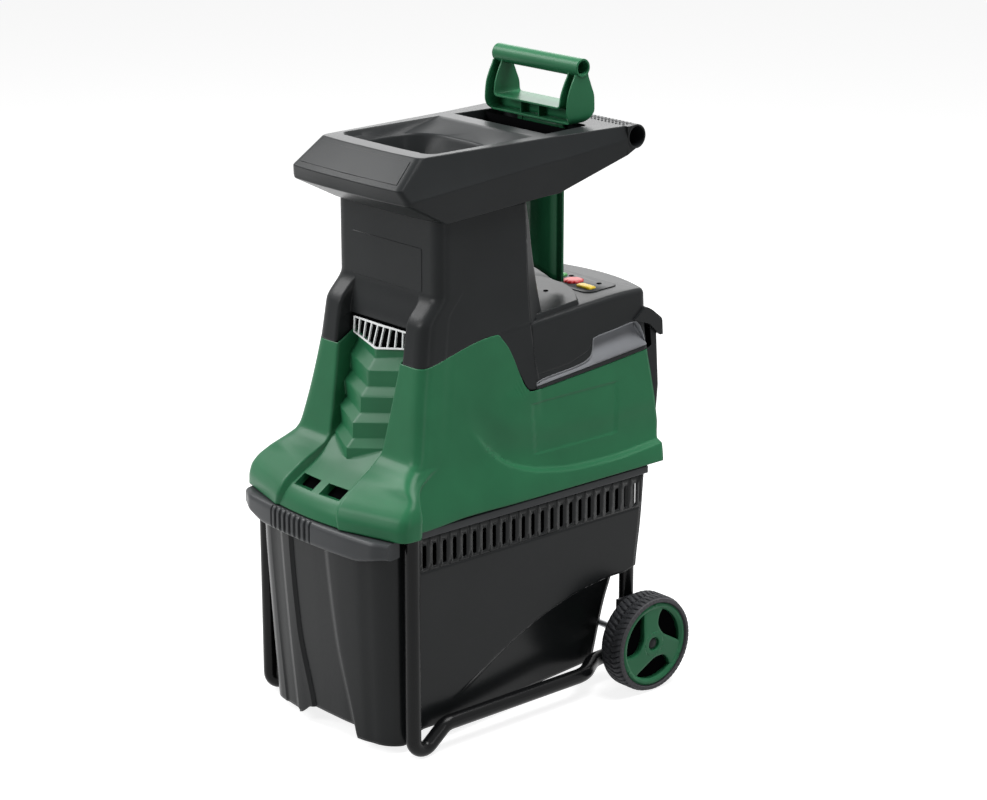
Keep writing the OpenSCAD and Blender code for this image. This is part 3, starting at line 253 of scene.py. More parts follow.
# %% [markdown]
# ## Lines and sections
# Most pieces come from a few kinds of line. An eased line runs through some heights without
# overshooting. A rounded line is a run of straight stretches whose corners are cut by short curves.
# A swept section follows a path, and a turned one goes round an axis.

# %% Line helpers
def point(*coordinates):
    """The point with these coordinates, or the grid of points: they are spread to one shape and joined."""
    return np.stack(np.broadcast_arrays(*coordinates), -1)


def merged(*lists):
    """All places of some lists in rising order, each one once."""
    return np.unique(np.concatenate(lists))


def mix(a, b, t):
    """Straight blend from a to b."""
    return a + (b - a) * t


def step(x, lo, hi):
    """0 below lo, 1 above hi, with a smooth S between."""
    t = np.clip((x - lo) / (hi - lo), 0.0, 1.0)
    return t * t * (3 - 2 * t)


def between(x, a, b, c, d):
    """0 below a and above d, 1 from b to c, with a smooth S on both flanks."""
    return step(x, a, b) * (1 - step(x, c, d))


def groove(off, depth, width):
    """Depth of a fine groove at a distance off its line: a bell curve of that width."""
    return depth * np.exp(-(off / width) ** 2)


def eased(pairs):
    """Function through (place, value) pairs: cubic stretches whose slopes never overshoot the data."""
    at, value = np.array(pairs, float).T
    gap = np.diff(at)
    grade = np.diff(value) / gap
    before, after = grade[:-1], grade[1:]
    even = np.where(after * before > 0, 2 * after * before / (after + before + 1e-12), 0.0)
    slope = np.concatenate([grade[:1], even, grade[-1:]])

    def line(x):
        """The eased value at x, which is kept between the first and the last place."""
        x = np.clip(x, at[0], at[-1])
        k = np.clip(np.searchsorted(at, x, side="right") - 1, 0, len(gap) - 1)
        h, t = gap[k], (x - at[k]) / gap[k]
        return (value[k] * (1 + 2 * t) * (1 - t) ** 2 + slope[k] * h * t * (1 - t) ** 2
                + value[k + 1] * t * t * (3 - 2 * t) + slope[k + 1] * h * t * t * (t - 1))
    return line


def rounded(corners, trims, straight=4, bend=6, closed=False):
    """Lines through corners (rows, k, dims): a corner is cut back by its trim and bridged by a parabola."""
    c = np.asarray(corners, float)
    trims = np.broadcast_to(np.asarray(trims, float), c.shape[:2])
    ahead, back = np.roll(c, -1, axis=1) - c, np.roll(c, 1, axis=1) - c
    ahead_run, back_run = np.linalg.norm(ahead, axis=-1), np.linalg.norm(back, axis=-1)
    cut = np.minimum(trims, 0.49 * np.minimum(ahead_run, back_run))[..., None]
    if not closed:
        cut[:, [0, -1]] = 0
    before = c + back / np.maximum(back_run, 1e-9)[..., None] * cut
    after = c + ahead / np.maximum(ahead_run, 1e-9)[..., None] * cut
    t = np.linspace(0, 1, bend)[:, None]
    parabola = (1 - t) ** 2 * before[:, :, None] + 2 * t * (1 - t) * c[:, :, None] + t * t * after[:, :, None]
    s = np.linspace(0, 1, straight + 2)[1:-1, None]
    stretch = mix(after[:, :, None], np.roll(before, -1, axis=1)[:, :, None], s)
    line = np.concatenate([parabola, stretch], axis=2).reshape(len(c), -1, c.shape[2])
    return line if closed else line[:, :line.shape[1] - straight]


def ring(count):
    """Angles once round, the start not repeated."""
    return np.arange(count) * 2 * math.pi / count


def circle(count):
    """Points once round a circle with the radius 1."""
    return point(np.cos(ring(count)), np.sin(ring(count)))


def loop(x, y0, y1, z, cut):
    """Level rounded rectangle, x to both sides and y from y0 to y1."""
    return rounded([[(-x, y0, z), (x, y0, z), (x, y1, z), (-x, y1, z)]], cut, 6, 6, closed=True)[0]


def sweep(path, section):
    """Carries a section (k, 2) along a path (n, 3): the frame turns with the path and never rolls."""
    tangent = np.gradient(path, axis=0)
    tangent /= np.linalg.norm(tangent, axis=1)[:, None]
    normal = np.cross(tangent[0], (1.0, 0.0, 0.0))
    frames = []
    for along in tangent:
        normal = normal - along * normal.dot(along)
        normal = normal / np.linalg.norm(normal)
        frames.append((normal, np.cross(along, normal)))
    frames = np.array(frames)
    return path[:, None] + section[:, :1] * frames[:, :1] + section[:, 1:] * frames[:, 1:]


def turned(profile, centre, count=96):
    """Turns a profile of (x, radius) about the X axis through centre (y, z)."""
    profile = np.asarray(profile, float)
    x, r, a = profile[:, :1], profile[:, 1:], ring(count)
    return point(x, centre[0] + r * np.cos(a), centre[1] + r * np.sin(a))


# %% [markdown]
# ## Floor, light and camera
# A pale floor under five soft lamps shows the moulded shapes without hard shadows: two from the front
# left, one from above, a narrow strip on the right and a weak one from behind. The camera stands where
# the photograph was taken from: its turn, its height and its lens were found by matching the wheel, the
# legs, the box and the handle.

# %% Stage
CAMERA_TURN, CAMERA_HEIGHT = math.radians(48.6), math.radians(17.1)
CAMERA_PLACE, LENS, SENSOR = (3.1088, -2.6778, 1.7430), 98.77, 36.0
FLOOR_HALF = 30.0
MIDDLE = Vector((0.0, 0.0, 0.5))
WHITE = (1.0, 1.0, 1.0, 1.0)
FLOOR_GREY = (0.45, 0.45, 0.45, 1.0)

scene = bpy.context.scene
scene.view_settings.view_transform = "Standard"
camera = bpy.data.objects.new("camera", bpy.data.cameras.new("camera"))
camera.data.lens, camera.data.sensor_width = LENS, SENSOR
camera.location = CAMERA_PLACE
level = math.cos(CAMERA_HEIGHT)
back = Vector((math.sin(CAMERA_TURN) * level, -math.cos(CAMERA_TURN) * level, math.sin(CAMERA_HEIGHT)))
camera.rotation_euler = (-back).to_track_quat("-Z", "Y").to_euler()
scene.collection.objects.link(camera)
scene.camera = camera


def lamp(name, place, size, power):
    """A soft lamp at place that looks at the machine's middle, size across by size upright."""
    data = bpy.data.lights.new(name, "AREA")
    data.shape, data.energy = "RECTANGLE", power
    data.size, data.size_y = size
    obj = bpy.data.objects.new(name, data)
    obj.location, obj.visible_camera = place, False
    obj.rotation_euler = (MIDDLE - Vector(place)).to_track_quat("-Z", "Y").to_euler()
    scene.collection.objects.link(obj)


lamp("key", (-2.7, -1.3, 3.1), (1.6, 1.6), 85.0)
lamp("front", (-1.7, -3.3, 2.3), (1.4, 1.4), 62.0)
lamp("top", (0.7, 0.8, 3.6), (1.9, 1.9), 120.0)
lamp("strip", (3.5, -0.3, 1.3), (0.22, 2.6), 14.0)
lamp("rear", (-2.8, 2.5, 1.9), (2.0, 1.4), 20.0)


def seen_white(tree, white, other, end):
    """Mixes two shaders for end: rays from the camera, mirrors and glass meet white, all others other."""
    nodes, links = tree.nodes, tree.links
    path, mixer = nodes.new("ShaderNodeLightPath"), nodes.new("ShaderNodeMixShader")
    total = path.outputs["Is Camera Ray"]
    for name in ("Is Glossy Ray", "Is Transmission Ray"):
        most = nodes.new("ShaderNodeMath")
        most.operation = "MAXIMUM"
        links.new(total, most.inputs[0])
        links.new(path.outputs[name], most.inputs[1])
        total = most.outputs[0]
    links.new(total, mixer.inputs["Fac"])
    links.new(other, mixer.inputs[1])
    links.new(white, mixer.inputs[2])
    links.new(mixer.outputs["Shader"], nodes[end].inputs["Surface"])


world = bpy.data.worlds.new("studio")
scene.world = world
world.use_nodes = True
sky = world.node_tree.nodes["Background"]
put(sky, {"Color": WHITE, "Strength": 0.15})
pale = world.node_tree.nodes.new("ShaderNodeBackground")
put(pale, {"Color": WHITE, "Strength": 1.0})
seen_white(world.node_tree, pale.outputs["Background"], sky.outputs["Background"], "World Output")

floor_mesh = bpy.data.meshes.new("floor")
corners = [(x * FLOOR_HALF, y * FLOOR_HALF, 0) for x, y in ((-1, -1), (1, -1), (1, 1), (-1, 1))]
floor_mesh.from_pydata(corners, [], [(0, 1, 2, 3)])
floor = bpy.data.objects.new("floor", floor_mesh)
scene.collection.objects.link(floor)
ground = bpy.data.materials.new("pale_floor")
ground.use_nodes = True
tree = ground.node_tree
matt = tree.nodes["Principled BSDF"]
put(matt, {"Base Color": FLOOR_GREY, "Roughness": 0.9, "Specular IOR Level": 0.0})
lit = tree.nodes.new("ShaderNodeEmission")
put(lit, {"Strength": 0.84})
both = tree.nodes.new("ShaderNodeAddShader")
tree.links.new(matt.outputs["BSDF"], both.inputs[0])
tree.links.new(lit.outputs["Emission"], both.inputs[1])
seen_white(tree, both.outputs["Shader"], matt.outputs["BSDF"], "Material Output")
floor_mesh.materials.append(ground)
print("camera", tuple(round(v, 3) for v in camera.location))

# %% [markdown]
# ## The side frames
# Each side stands on one tube. It comes down the front leg, turns at the foot, climbs to the rail, steps
# inward beside the wheel and rises as the rear post. A circle is carried along that bent line.

# %% Side frames
SIDES = (("right", 1.0), ("left", -1.0))


def bent(points, radii, bend=12):
    """Line through points whose inner corners are bent to circular arcs of the given radii."""
    p = np.asarray(points, float)
    parts = [p[:1]]
    t = np.linspace(0, 1, bend)[:, None]
    for k, radius in enumerate(radii, 1):
        back, ahead = p[k - 1] - p[k], p[k + 1] - p[k]
        back, ahead = back / np.linalg.norm(back), ahead / np.linalg.norm(ahead)
        half = math.acos(float(np.clip(back.dot(ahead), -1.0, 1.0))) / 2
        turn = math.pi - 2 * half
        middle = p[k] + (back + ahead) / np.linalg.norm(back + ahead) * radius / math.sin(half)
        start = p[k] + back * radius / math.tan(half) - middle
        end = p[k] + ahead * radius / math.tan(half) - middle
        parts.append(middle + (np.sin((1 - t) * turn) * start + np.sin(t * turn) * end) / math.sin(turn))
    return np.concatenate(parts + [p[-1:]])


LEG_TOP, POST_TOP, RAIL_Z, POST_X = 378.0, 396.0, 41.0, 145.5
FRAME_LINE = [
    (LEG_X, 0, LEG_TOP), (LEG_X, 0, -9), (LEG_X, 64, RAIL_Z), (LEG_X, 358.9, RAIL_Z),
    (POST_X, 408.9, RAIL_Z), (POST_X, POST_Y, RAIL_Z), (POST_X, POST_Y, POST_TOP),
]
BEND_RADII = (20, 30, 60, 60, 38)
tube = sweep(bent(FRAME_LINE, BEND_RADII), TUBE_R * circle(32))
for name, side in SIDES:
    Skin().plug(tube).side(side).piece(f"frame_{name}_tube", "frame_paint", nodes=[f"frame_{name}"], sharp=50)

# %% [markdown]
# ## The green cover
# The lower cover is one moulding. Its plan is drawn level by level: a stepped channel in the middle, a
# wall up to the column, the column's face, a rounded corner, a fold behind the apron, and the long side.
# Between the levels all of these change smoothly, so the apron swells out of the columns. Behind the two
# pockets in the apron a dark sheet paints the shade inside them.

# %% Green cover
APRON_Z, SHOULDER_Z, COVER_TOP, COVER_REAR, COVER_FOOT = 359.5, 446.0, 595.0, 530.0, 364.0
side_half = eased([(340, 175), (366, 173), (446, 151), (595, 129), (642, 126), (700, 124), (830, 124)])
seam_z = eased([
    (0, 595), (70, 595), (81, 597), (214, 622.4), (219, 622.2), (226, 615), (239.4, 597), (248.2, 578.7),
    (253.7, 563.8), (262, 542.8), (267.5, 530), (272, 524.5), (280, 522.8), (377, 529.2), (530, 542.7)])
valley = eased([(359.5, -60), (375, -56), (390, -46), (400, -32), (423, 5), (435, 23), (452, 48), (640, 330)])
STAIR_Z = (420, 434, 452, 465, 490, 503, 528, 542, 567, 582, 620)
STAIR_Y = (20.8, 20.8, 21, 34, 34.5, 49.8, 50.3, 64.6, 65, 80.5, 81)
column = eased([
    (359.5, -65), (372, -65), (388, -60), (400, -50), (423, -15), (437, 13), (446, 28), (456, 37), (480, 43),
    (595, 66)])
apron_half = eased([
    (359.5, 196.5), (385, 195.5), (400, 191), (415, 180), (428, 165), (438, 156), (446, 151.5)])
inner_edge = eased([
    (359.5, 72), (380, 64), (400, 60.5), (430, 60), (441, 60), (457, 61), (508, 66), (600, 71)])
wall_edge = eased([
    (359.5, 78), (380, 72), (400, 69), (430, 66), (446, 63), (463, 64), (539, 70), (600, 75)])
corner_cut = eased([(359.5, 52), (400, 50), (430, 40), (446, 34), (595, 30)])
fold_y = eased([(359.5, 8), (400, 13), (420, 22), (438, 52), (446, 70), (480, 86), (595, 110)])
ridge_z = eased([
    (120, 512), (158.5, 477.4), (180.4, 450.8), (211.3, 425.4), (241.2, 411.1), (279.6, 400.3), (353, 390.5),
    (430, 388.5), (535, 395)])
cover_edge = eased([(359, 531), (398, 535), (427, 540.5), (461, 537.5), (500, 535), (540, 531), (660, 528)])
CHANNEL_HALF, CHANNEL_FLAT, APRON_BOW, BOW_HALF, FOLD_RUN = 72.0, 57.5, 24.0, 156.0, 24.0
POCKET_X, POCKET_Z, POCKET_DEPTH, POCKET_DROP = (9.5, 54.5), (394.5, 406.5), 20.0, 8.0
RIDGE_H, RIDGE_DROP, RIDGE_RETURN, SWELL_H, LABEL_DEPTH = 3.0, 10.5, 0.75, 2.5, 1.3


def beside(marks, gap):
    """Places just before and just after each mark, so that an edge there stays crisp."""
    return np.concatenate([np.array(marks) - gap, np.array(marks) + gap])


levels = merged(np.linspace(APRON_Z, COVER_TOP, 104), beside(STAIR_Z[1:-1], 0.7), beside(POCKET_Z, 0.6))
levels = levels[(levels >= APRON_Z) & (levels <= COVER_TOP)]
height = levels[:, None]
level_share = (height - APRON_Z) / (COVER_TOP - APRON_Z)

flat = merged((0, 4, 18, 26, 34, 42, 50), beside(POCKET_X, 0.6), [CHANNEL_FLAT])
channel_x = np.concatenate([
    flat + 0 * height, mix(CHANNEL_FLAT, inner_edge(height), np.linspace(0, 1, 10)[None, 1:])], axis=1)
across = channel_x / CHANNEL_HALF
near_top = step(height, 560, 595)
channel_z = height + (10 + 4 * near_top) * across * step(height, 425, 450) + 3 * near_top
stairs = np.interp(height + 0 * across, STAIR_Z, STAIR_Y) + mix(31.0, 22.0, step(height, 450, 560)) * across
channel_y = np.minimum(valley(height + 0 * across) + 3 * (channel_x / 60) ** 2, stairs)
pocket = between(channel_x, *beside(POCKET_X, 0.6)[[0, 2, 1, 3]])
pocket = pocket * between(height, *beside(POCKET_Z, 0.6)[[0, 2, 1, 3]])
channel = point(channel_x, channel_y + POCKET_DEPTH * pocket, channel_z - POCKET_DROP * pocket)

half = np.where(levels > SHOULDER_Z, side_half(levels), np.maximum(apron_half(levels), side_half(levels)))
front, fold, wall_x = column(levels), fold_y(levels), wall_edge(levels)
bow = APRON_BOW * (1 - step(levels, 410, SHOULDER_Z))
raised = level_share[:, 0] * (seam_z(fold + 18) - COVER_TOP).clip(0)
side = side_half(levels + raised)
outline = np.stack([
    channel[:, -1],
    point(wall_x, front + bow * (wall_x / BOW_HALF) ** 2, levels),
    point(half, front + bow * (half / BOW_HALF) ** 2, levels),
    point(half, fold, levels),
    point(side, fold + FOLD_RUN / 2, levels),
    point(side, fold + FOLD_RUN, levels)], axis=1)
face = rounded(outline, point(0, 5, corner_cut(levels), 8, 8, 0), straight=6, bend=8)
face[..., 2] += level_share * (seam_z(face[..., 1]) - COVER_TOP).clip(0)

y = mix(fold[:, None] + FOLD_RUN, COVER_REAR, np.linspace(0, 1, 104)[None, 1:])
low_edge = mix(APRON_Z, COVER_FOOT, step(y, 30, 120))
z = low_edge + level_share * (seam_z(y) - low_edge)
from_ridge = z - ridge_z(y)
sunk = RIDGE_DROP * step(from_ridge, -3.5, 3.5) * (1 - RIDGE_RETURN * step(from_ridge, 3.5, 75))
from_crease = z - (522.7 + (y - 218) * 0.186)
swell = SWELL_H * between(y, 212, 272, 285, 300) * between(from_crease, -70, -10, -4, 4)
label_rear = 446 + (z - 426) * 0.155
label = step(y, 275, 277.5) * (1 - step(y - label_rear, 0, 2.5)) * between(z, 422.5, 425, 502, 504.5)
x = side_half(z) + step(y, 140, 215) * (RIDGE_H - sunk) + swell - LABEL_DEPTH * label
y = y + (cover_edge(z) - COVER_REAR) * step(y, 440, COVER_REAR)
Skin().grid(np.concatenate([channel, face[:, 1:], point(x, y, z)], axis=1)).mirror().piece(
    "green_cover_skin", "green_plastic", nodes=["green_cover"], wall=3.0, sharp=35)

# Painted shade: a dark sheet behind each pocket stands for the shade inside it.
x, z = np.meshgrid(
    np.linspace(POCKET_X[0] - 2, POCKET_X[1] + 2, 7), np.linspace(POCKET_Z[0] - 3, POCKET_Z[1] + 3, 6))
Skin().grid(point(x, valley(z) + 15.0, z - 6.0)).mirror().piece(
    "apron_pocket_shade", "black_plastic", SHADE, wall=1.5)

# %% [markdown]
# ## The chute
# The black chute stands on the green columns. Two pods carry on the columns' faces and run back into the
# flat front, and a wedge on each side reaches down behind the cover's edge. The front and the sides
# share their levels, and the lower ones are pulled down to the seam. The rear wall flares out downward,
# and a tapered liner inside leads from the tray to the drum.

# %% Chute
TOWER_TOP, LINER_FOOT, CHUTE_REAR, POD_RUN, FLAT_Y = 822.0, 578.0, 294.0, 46.0, 105.0
pod_front = eased([
    (595, 66), (640, 72.5), (656, 75.5), (663, 79.5), (686, 101.5), (692, 104.5), (697, FLAT_Y),
    (830, FLAT_Y)])
gap_front = eased([
    (595, 113), (633, 112), (636.5, 94), (640, 94), (690, 104.5), (700, FLAT_Y), (830, FLAT_Y)])
tower_rear = eased([(515, 298.5), (530, 297.5), (635, 286), (724, 281), (796, 278), (830, 275)])
tower_flare = eased([
    (620, 57), (634, 53), (660, 45), (690, 36.5), (716, 29), (745, 21), (784, 12.5), (806, 7), (830, 4)])
FLARE_TURN = math.radians(25)

levels = merged(np.linspace(COVER_TOP, 631, 14), np.linspace(633, 700, 46), np.linspace(703, TOWER_TOP, 30))
share = ((levels - COVER_TOP) / (TOWER_TOP - COVER_TOP))[:, None]
half, pod, gap = side_half(levels), pod_front(levels), gap_front(levels)


def on_seam(y):
    """Levels pulled down to the seam: the lowest runs along it, the highest stays level."""
    return mix(seam_z(y), TOWER_TOP, share)


plan = np.stack([
    point(0, gap), point(76, gap), point(80, pod), point(half, pod), point(half, pod + POD_RUN)], axis=1)
face = rounded(plan, [0, 1.5, 5, 29, 0], straight=7, bend=9)
face = point(face[..., 0], face[..., 1], on_seam(face[..., 1]))
y = mix(pod[:, None] + POD_RUN, CHUTE_REAR, np.linspace(0, 1, 70)[None, 1:])
z = on_seam(y)
y = y + (tower_rear(z) - CHUTE_REAR) * step(y, 130, CHUTE_REAR)
seam_line = groove(z - (624 + (y - 222) * 4 / 69), 0.7, 1.3) * step(y, 216, 226)
chute = np.concatenate([face, point(side_half(z) - seam_line, y, z)], axis=1)
levels = np.linspace(621, TOWER_TOP, 32)
half, rear, flare = side_half(levels), tower_rear(levels), tower_flare(levels)
flare_x, flare_y = half - flare * math.sin(FLARE_TURN), rear + flare * math.cos(FLARE_TURN)
plan = np.stack([
    point(half, rear, levels), point(flare_x, flare_y, levels), point(0, flare_y, levels)], axis=1)
chute_rear = rounded(plan, point(0, 0.25 * flare, 0), straight=8, bend=7)
Skin().grid(chute).grid(chute_rear).mirror().piece(
    "chute_skin", "black_plastic", nodes=["chute_tower"], wall=3.0, sharp=35)

liner_foot, liner_top = loop(62, 110, 216, LINER_FOOT, 8), loop(84, 112, 226, TOWER_TOP - 1, 14)
liner = mix(liner_foot, liner_top, np.linspace(0, 1, 12)[:, None, None])
Skin().tube(liner).piece("chute_liner", "black_plastic", wall=-2.5, sharp=50)

LABEL_X, LABEL_Z = 83.0, (700.0, 768.0)
plate = np.stack([
    loop(LABEL_X - inset, LABEL_Z[0] + inset, LABEL_Z[1] - inset, FLAT_Y + y, 4.0)[:, [0, 2, 1]]
    for inset, y in ((0, 0.5), (0, -0.3), (0.5, -0.8))])
Skin().plug(plate).piece("label_panel", "black_plastic", sharp=30)

# %% [markdown]
# ## The air grille
# Between the pods a white grille lets the cutting room breathe. Its face is a bent quadrilateral, given by
# where a point lies across and up it, so the frame and the bars are rectangles in those two numbers.
# A dark sheet behind it paints the shade of the inside.

# %% Air grille
GRILLE_X, GRILLE_H, OPENINGS, FRAME, BAR = 69.0, 36.0, 9, 3.4, 3.0


def grille_face(u, v):
    """Point across (u from -1 to 1) and up (v from 0 to 1): the lower edge is a V, the upper one straight."""
    low = point(GRILLE_X * u, 79.5 + 12.5 * np.abs(u), 598.5 + 11 * np.abs(u))
    high = point((GRILLE_X - 2) * u, 92, 636)
    return mix(low, high, v[..., None])


edges = np.linspace(-1, 1, OPENINGS + 1)
left, right = edges[:-1], edges[1:]
outer = np.stack([point(left, 0), point(right, 0), point(right, 1), point(left, 1)], axis=1)
margin = np.full(OPENINGS, BAR / 2 / GRILLE_X)
left_margin, right_margin, sill = margin.copy(), margin.copy(), FRAME / GRILLE_H
left_margin[0] = right_margin[-1] = FRAME / GRILLE_X
left, right = left + left_margin, right - right_margin
inner = np.stack([
    point(left, sill), point(right, sill), point(right, 1 - sill), point(left, 1 - sill)], axis=1)
skin = Skin()
for out, hole in zip(rounded(outer, 0, 2, 1, True), rounded(inner, 0, 2, 1, True)):
    skin.tube(grille_face(*np.stack([out, hole]).transpose(2, 0, 1)))
skin.piece("air_grille", "white_plastic", nodes=["vent_grille"], wall=3.0, bevel=0.5)
# Painted shade: a dark sheet behind the grille stands for the shade of the chute's inside.
u, v = np.meshgrid(np.linspace(-1, 1, 21), np.linspace(0, 1, 5))
Skin().grid(grille_face(u, v) + (0, 8.0, 2.0)).piece("grille_shade", "black_plastic", SHADE, wall=1.0)

# %% [markdown]
# ## The feed tray
# The tray is a stack of half rings with the same seven corners: the top edge, the foot of the sloping front
# plate, the crease, the lip and the keel. Inside, the bowl runs down to the feed opening, and behind it a
# slot holds the plunger. A dark plate stands in the slot in front of the blade and paints the shade in it.
# Rings that share corners meet without gaps, and the other half is their mirror image.

# %% Feed tray
TRAY_TOP, TRAY_REAR, BOWL_REAR, SLOT_FRONT, SLOT_REAR = 915.6, 468.0, 303.0, 334.0, 427.0
OUTER_TRIMS, HOLE_TRIMS, SLOT_TRIMS = (0, 80, 12, 0, 0, 0.5, 0), (0, 70, 22, 0, 0, 10, 0), (0, 0, 10, 0)
RING_STRAIGHT, RING_BEND = 9, 9
RING_EDGE = RING_STRAIGHT + RING_BEND + 1


def half_ring(corners, trims):
    """Rounded line through the corners of a level's right half, from the front to the rear."""
    return rounded([corners], [trims], RING_STRAIGHT, RING_BEND)[0]


def tray_ring(front, z, middle, corner, bowl, slot, rear):
    """Level of the outside: front edge, its corner (x, y), then (x, z) at the bowl, the slot and the rear."""
    return half_ring([
        (0, front, z), (middle, front, z), (*corner, z), (bowl[0], BOWL_REAR, bowl[1]),
        (slot[0], SLOT_FRONT, slot[1]), (rear[0], TRAY_REAR, rear[1]), (0, TRAY_REAR, rear[1])], OUTER_TRIMS)


def slot_ring(front_z, rear_z):
    """Corners of the plunger's slot, from its front edge round the side to the rear."""
    return [(106, SLOT_FRONT, front_z), (100, SLOT_REAR, rear_z), (0, SLOT_REAR, rear_z)]


def bowl_ring(front, side, rear, x, z, trims):
    """One level of the bowl: front, side and rear edges, with its own corner cuts."""
    corners = [(0, front, z[0]), (x / 2, front, z[0]), (x, side, z[0]), (x, rear, z[1]), (0, rear, z[1])]
    return half_ring(corners, trims)


def throat(half, reach, centre, z, count):
    """Round level of the bowl: half of a squarish ellipse, whose powers are 3, with count points."""
    share = np.linspace(0, 1, count)
    a = np.radians(np.interp(share, (0, 0.5, 0.75, 1), (-90, -45, 45, 90)))
    x, y = np.abs(np.cos(a)) ** (2 / 3), np.sign(np.sin(a)) * np.abs(np.sin(a)) ** (2 / 3)
    x[[0, -1]] = 0
    return point(half * x, centre + reach * y, z)


def bridge(hole_end, slot_start):
    """Strip between the last edge of the feed hole and the first edge of the slot, from the side inward."""
    return mix(hole_end[-RING_EDGE:], slot_start[:RING_EDGE][::-1], np.linspace(0, 1, 11)[:, None, None])


hole = half_ring([(0, 97, TRAY_TOP), (55, 97, TRAY_TOP), (109, 101, TRAY_TOP), (109, BOWL_REAR, TRAY_TOP),
                  *slot_ring(TRAY_TOP, TRAY_TOP)], HOLE_TRIMS)
top_edge = tray_ring(69, 915, 59, (118, 74), (130, TRAY_TOP), (131.4, TRAY_TOP), (145, 916))
plate_foot = tray_ring(20, 874, 65, (131, 25), (141, 887.7), (142, 888.6), (151, 897.5))
crease = tray_ring(28, 857, 70, (141, 33), (144.5, 880), (145.5, 881.5), (151, 896))
lip = tray_ring(29, 851, 70, (140.5, 34), (144, 875.5), (145, 877), (151, 890))
keel = tray_ring(101, 813, 67, (135, 108), (139, 826.8), (140, 828), (150, 870))
under = half_ring([(0, 112, 822), (42, 112, 822), (84, 112, 822), (84, 226, 822),
                   *slot_ring(830, 862)], HOLE_TRIMS)
bowl_top = bowl_ring(97, 101, BOWL_REAR, 109, (TRAY_TOP, TRAY_TOP), (0, 70, 22, 0, 0))
bowl = np.stack([
    bowl_top,
    bowl_ring(98.5, 102.5, 296, 107, (912.5, 913.6), (0, 70, 24, 6, 0)),
    bowl_ring(100, 104, 280, 103, (906, 908.5), (0, 70, 34, 24, 0)),
    throat(99, 79, 178, 901, len(bowl_top)),
    throat(96.5, 77, 178, 898.5, len(bowl_top)),
    throat(95, 75.5, 178, 894, len(bowl_top)),
    throat(90, 66, 174, 866, len(bowl_top)),
    bowl_ring(112, 112, 226, 84, (840, 840), (0, 70, 22, 4, 0)),
    bowl_ring(112, 112, 226, 84, (822, 822), (0, 70, 22, 0, 0))])
slot_top = half_ring([(0, SLOT_FRONT, TRAY_TOP), *slot_ring(TRAY_TOP, TRAY_TOP)], SLOT_TRIMS)
slot_foot = half_ring([(0, SLOT_FRONT, 830), *slot_ring(830, 862)], SLOT_TRIMS)
skin = Skin()
skin.grid(np.stack([hole, top_edge, plate_foot, crease, lip, keel, under])).grid(bowl)
skin.grid(np.stack([slot_top, slot_foot])).grid(bridge(bowl[0], slot_top)).grid(bridge(bowl[-1], slot_foot))
skin.mirror().piece("tray_body", "black_plastic", nodes=["hopper_tray"], bevel=2.2, sharp=24)

# Painted shade: a dark plate in the slot, in front of the blade, stands for the shade there.
SLOT_SHADE_X, SLOT_SHADE_Y, SLOT_SHADE_Z = 97.0, 393.0, (838.0, 912.5)
x, z = np.meshgrid(np.linspace(-SLOT_SHADE_X, SLOT_SHADE_X, 21), np.linspace(*SLOT_SHADE_Z, 6))
Skin().grid(point(x, SLOT_SHADE_Y, z)).piece("slot_shade_plate", "black_plastic", SHADE, wall=2.0)

# %% [markdown]
# ## The tray's grip
# A tube across the rear of the tray is there to pull the machine by. A saddle hugs its front and joins it to
# the tray, and rows of small domes on top keep the hand from slipping. The sloping front plate carries a
# thin raised panel.

# %% Tray grip and front panel
GRIP_Y, GRIP_Z, GRIP_R, GRIP_BORE, GRIP_X = 485.0, 898.0, 19.0, 16.0, 151.5


def pipe(x, bore, radius, centre):
    """Tube along X with a bore, x to both sides."""
    return turned([(-x, bore), (-x, radius), (x, radius), (x, bore)], centre, 64)


grip = pipe(GRIP_X, GRIP_BORE, GRIP_R, (GRIP_Y, GRIP_Z))
Skin().band(grip).piece("tray_grip", "black_plastic", bevel=0.8, sharp=40)
a = np.linspace(0.5, 1.5, 25) * math.pi
hug = point(GRIP_Y + (GRIP_R - 0.5) * np.cos(a), GRIP_Z + (GRIP_R - 0.5) * np.sin(a))
saddle = np.concatenate([hug, [(TRAY_REAR - 2, 870.5), (TRAY_REAR - 2, 915.8)]])
saddle = point(np.array((-150.5, 150.5))[:, None], saddle[:, 0], saddle[:, 1])
Skin().plug(saddle).piece("grip_saddle", "black_plastic", sharp=30)

DOT_R, DOT_H, DOTS = 2.0, 1.2, 35
rise = np.linspace(0, math.pi / 2, 5)[:, None]
a = ring(10)
dot = point(DOT_R * np.cos(rise) * np.cos(a), DOT_R * np.cos(rise) * np.sin(a), DOT_H * np.sin(rise))
skin = Skin()
for y, z in ((470.0, 915.8), (478.0, 916.0), (486.0, 916.4)):
    for x in np.linspace(-136, 136, DOTS):
        skin.tube(dot + (x, y, z))
skin.piece("grip_dots", "black_plastic", sharp=60)

u, v = np.meshgrid(np.linspace(-1, 1, 41), np.linspace(0.16, 0.86, 8))
panel = point(u * mix(117, 104, v), mix(20, 69, v) + 5 * (u * 0.88) ** 2, mix(874, 915, v))
PLATE_UP = np.array((0.0, -0.649, 0.761))
Skin().grid(panel + 0.9 * PLATE_UP).piece("tray_front_panel", "black_plastic", wall=1.6, bevel=0.5)

# %% [markdown]
# ## The collection box
# The box is a tub with drafted walls. Its plan at each height is a bowed front, two rounded corners and two
# long sides, and the sides run past the rear wall as fins. Below an arc the sides step inward to clear the
# wheels. The air slots are cells: a rectangle outside, a rounded slot inside, and faces between the two.

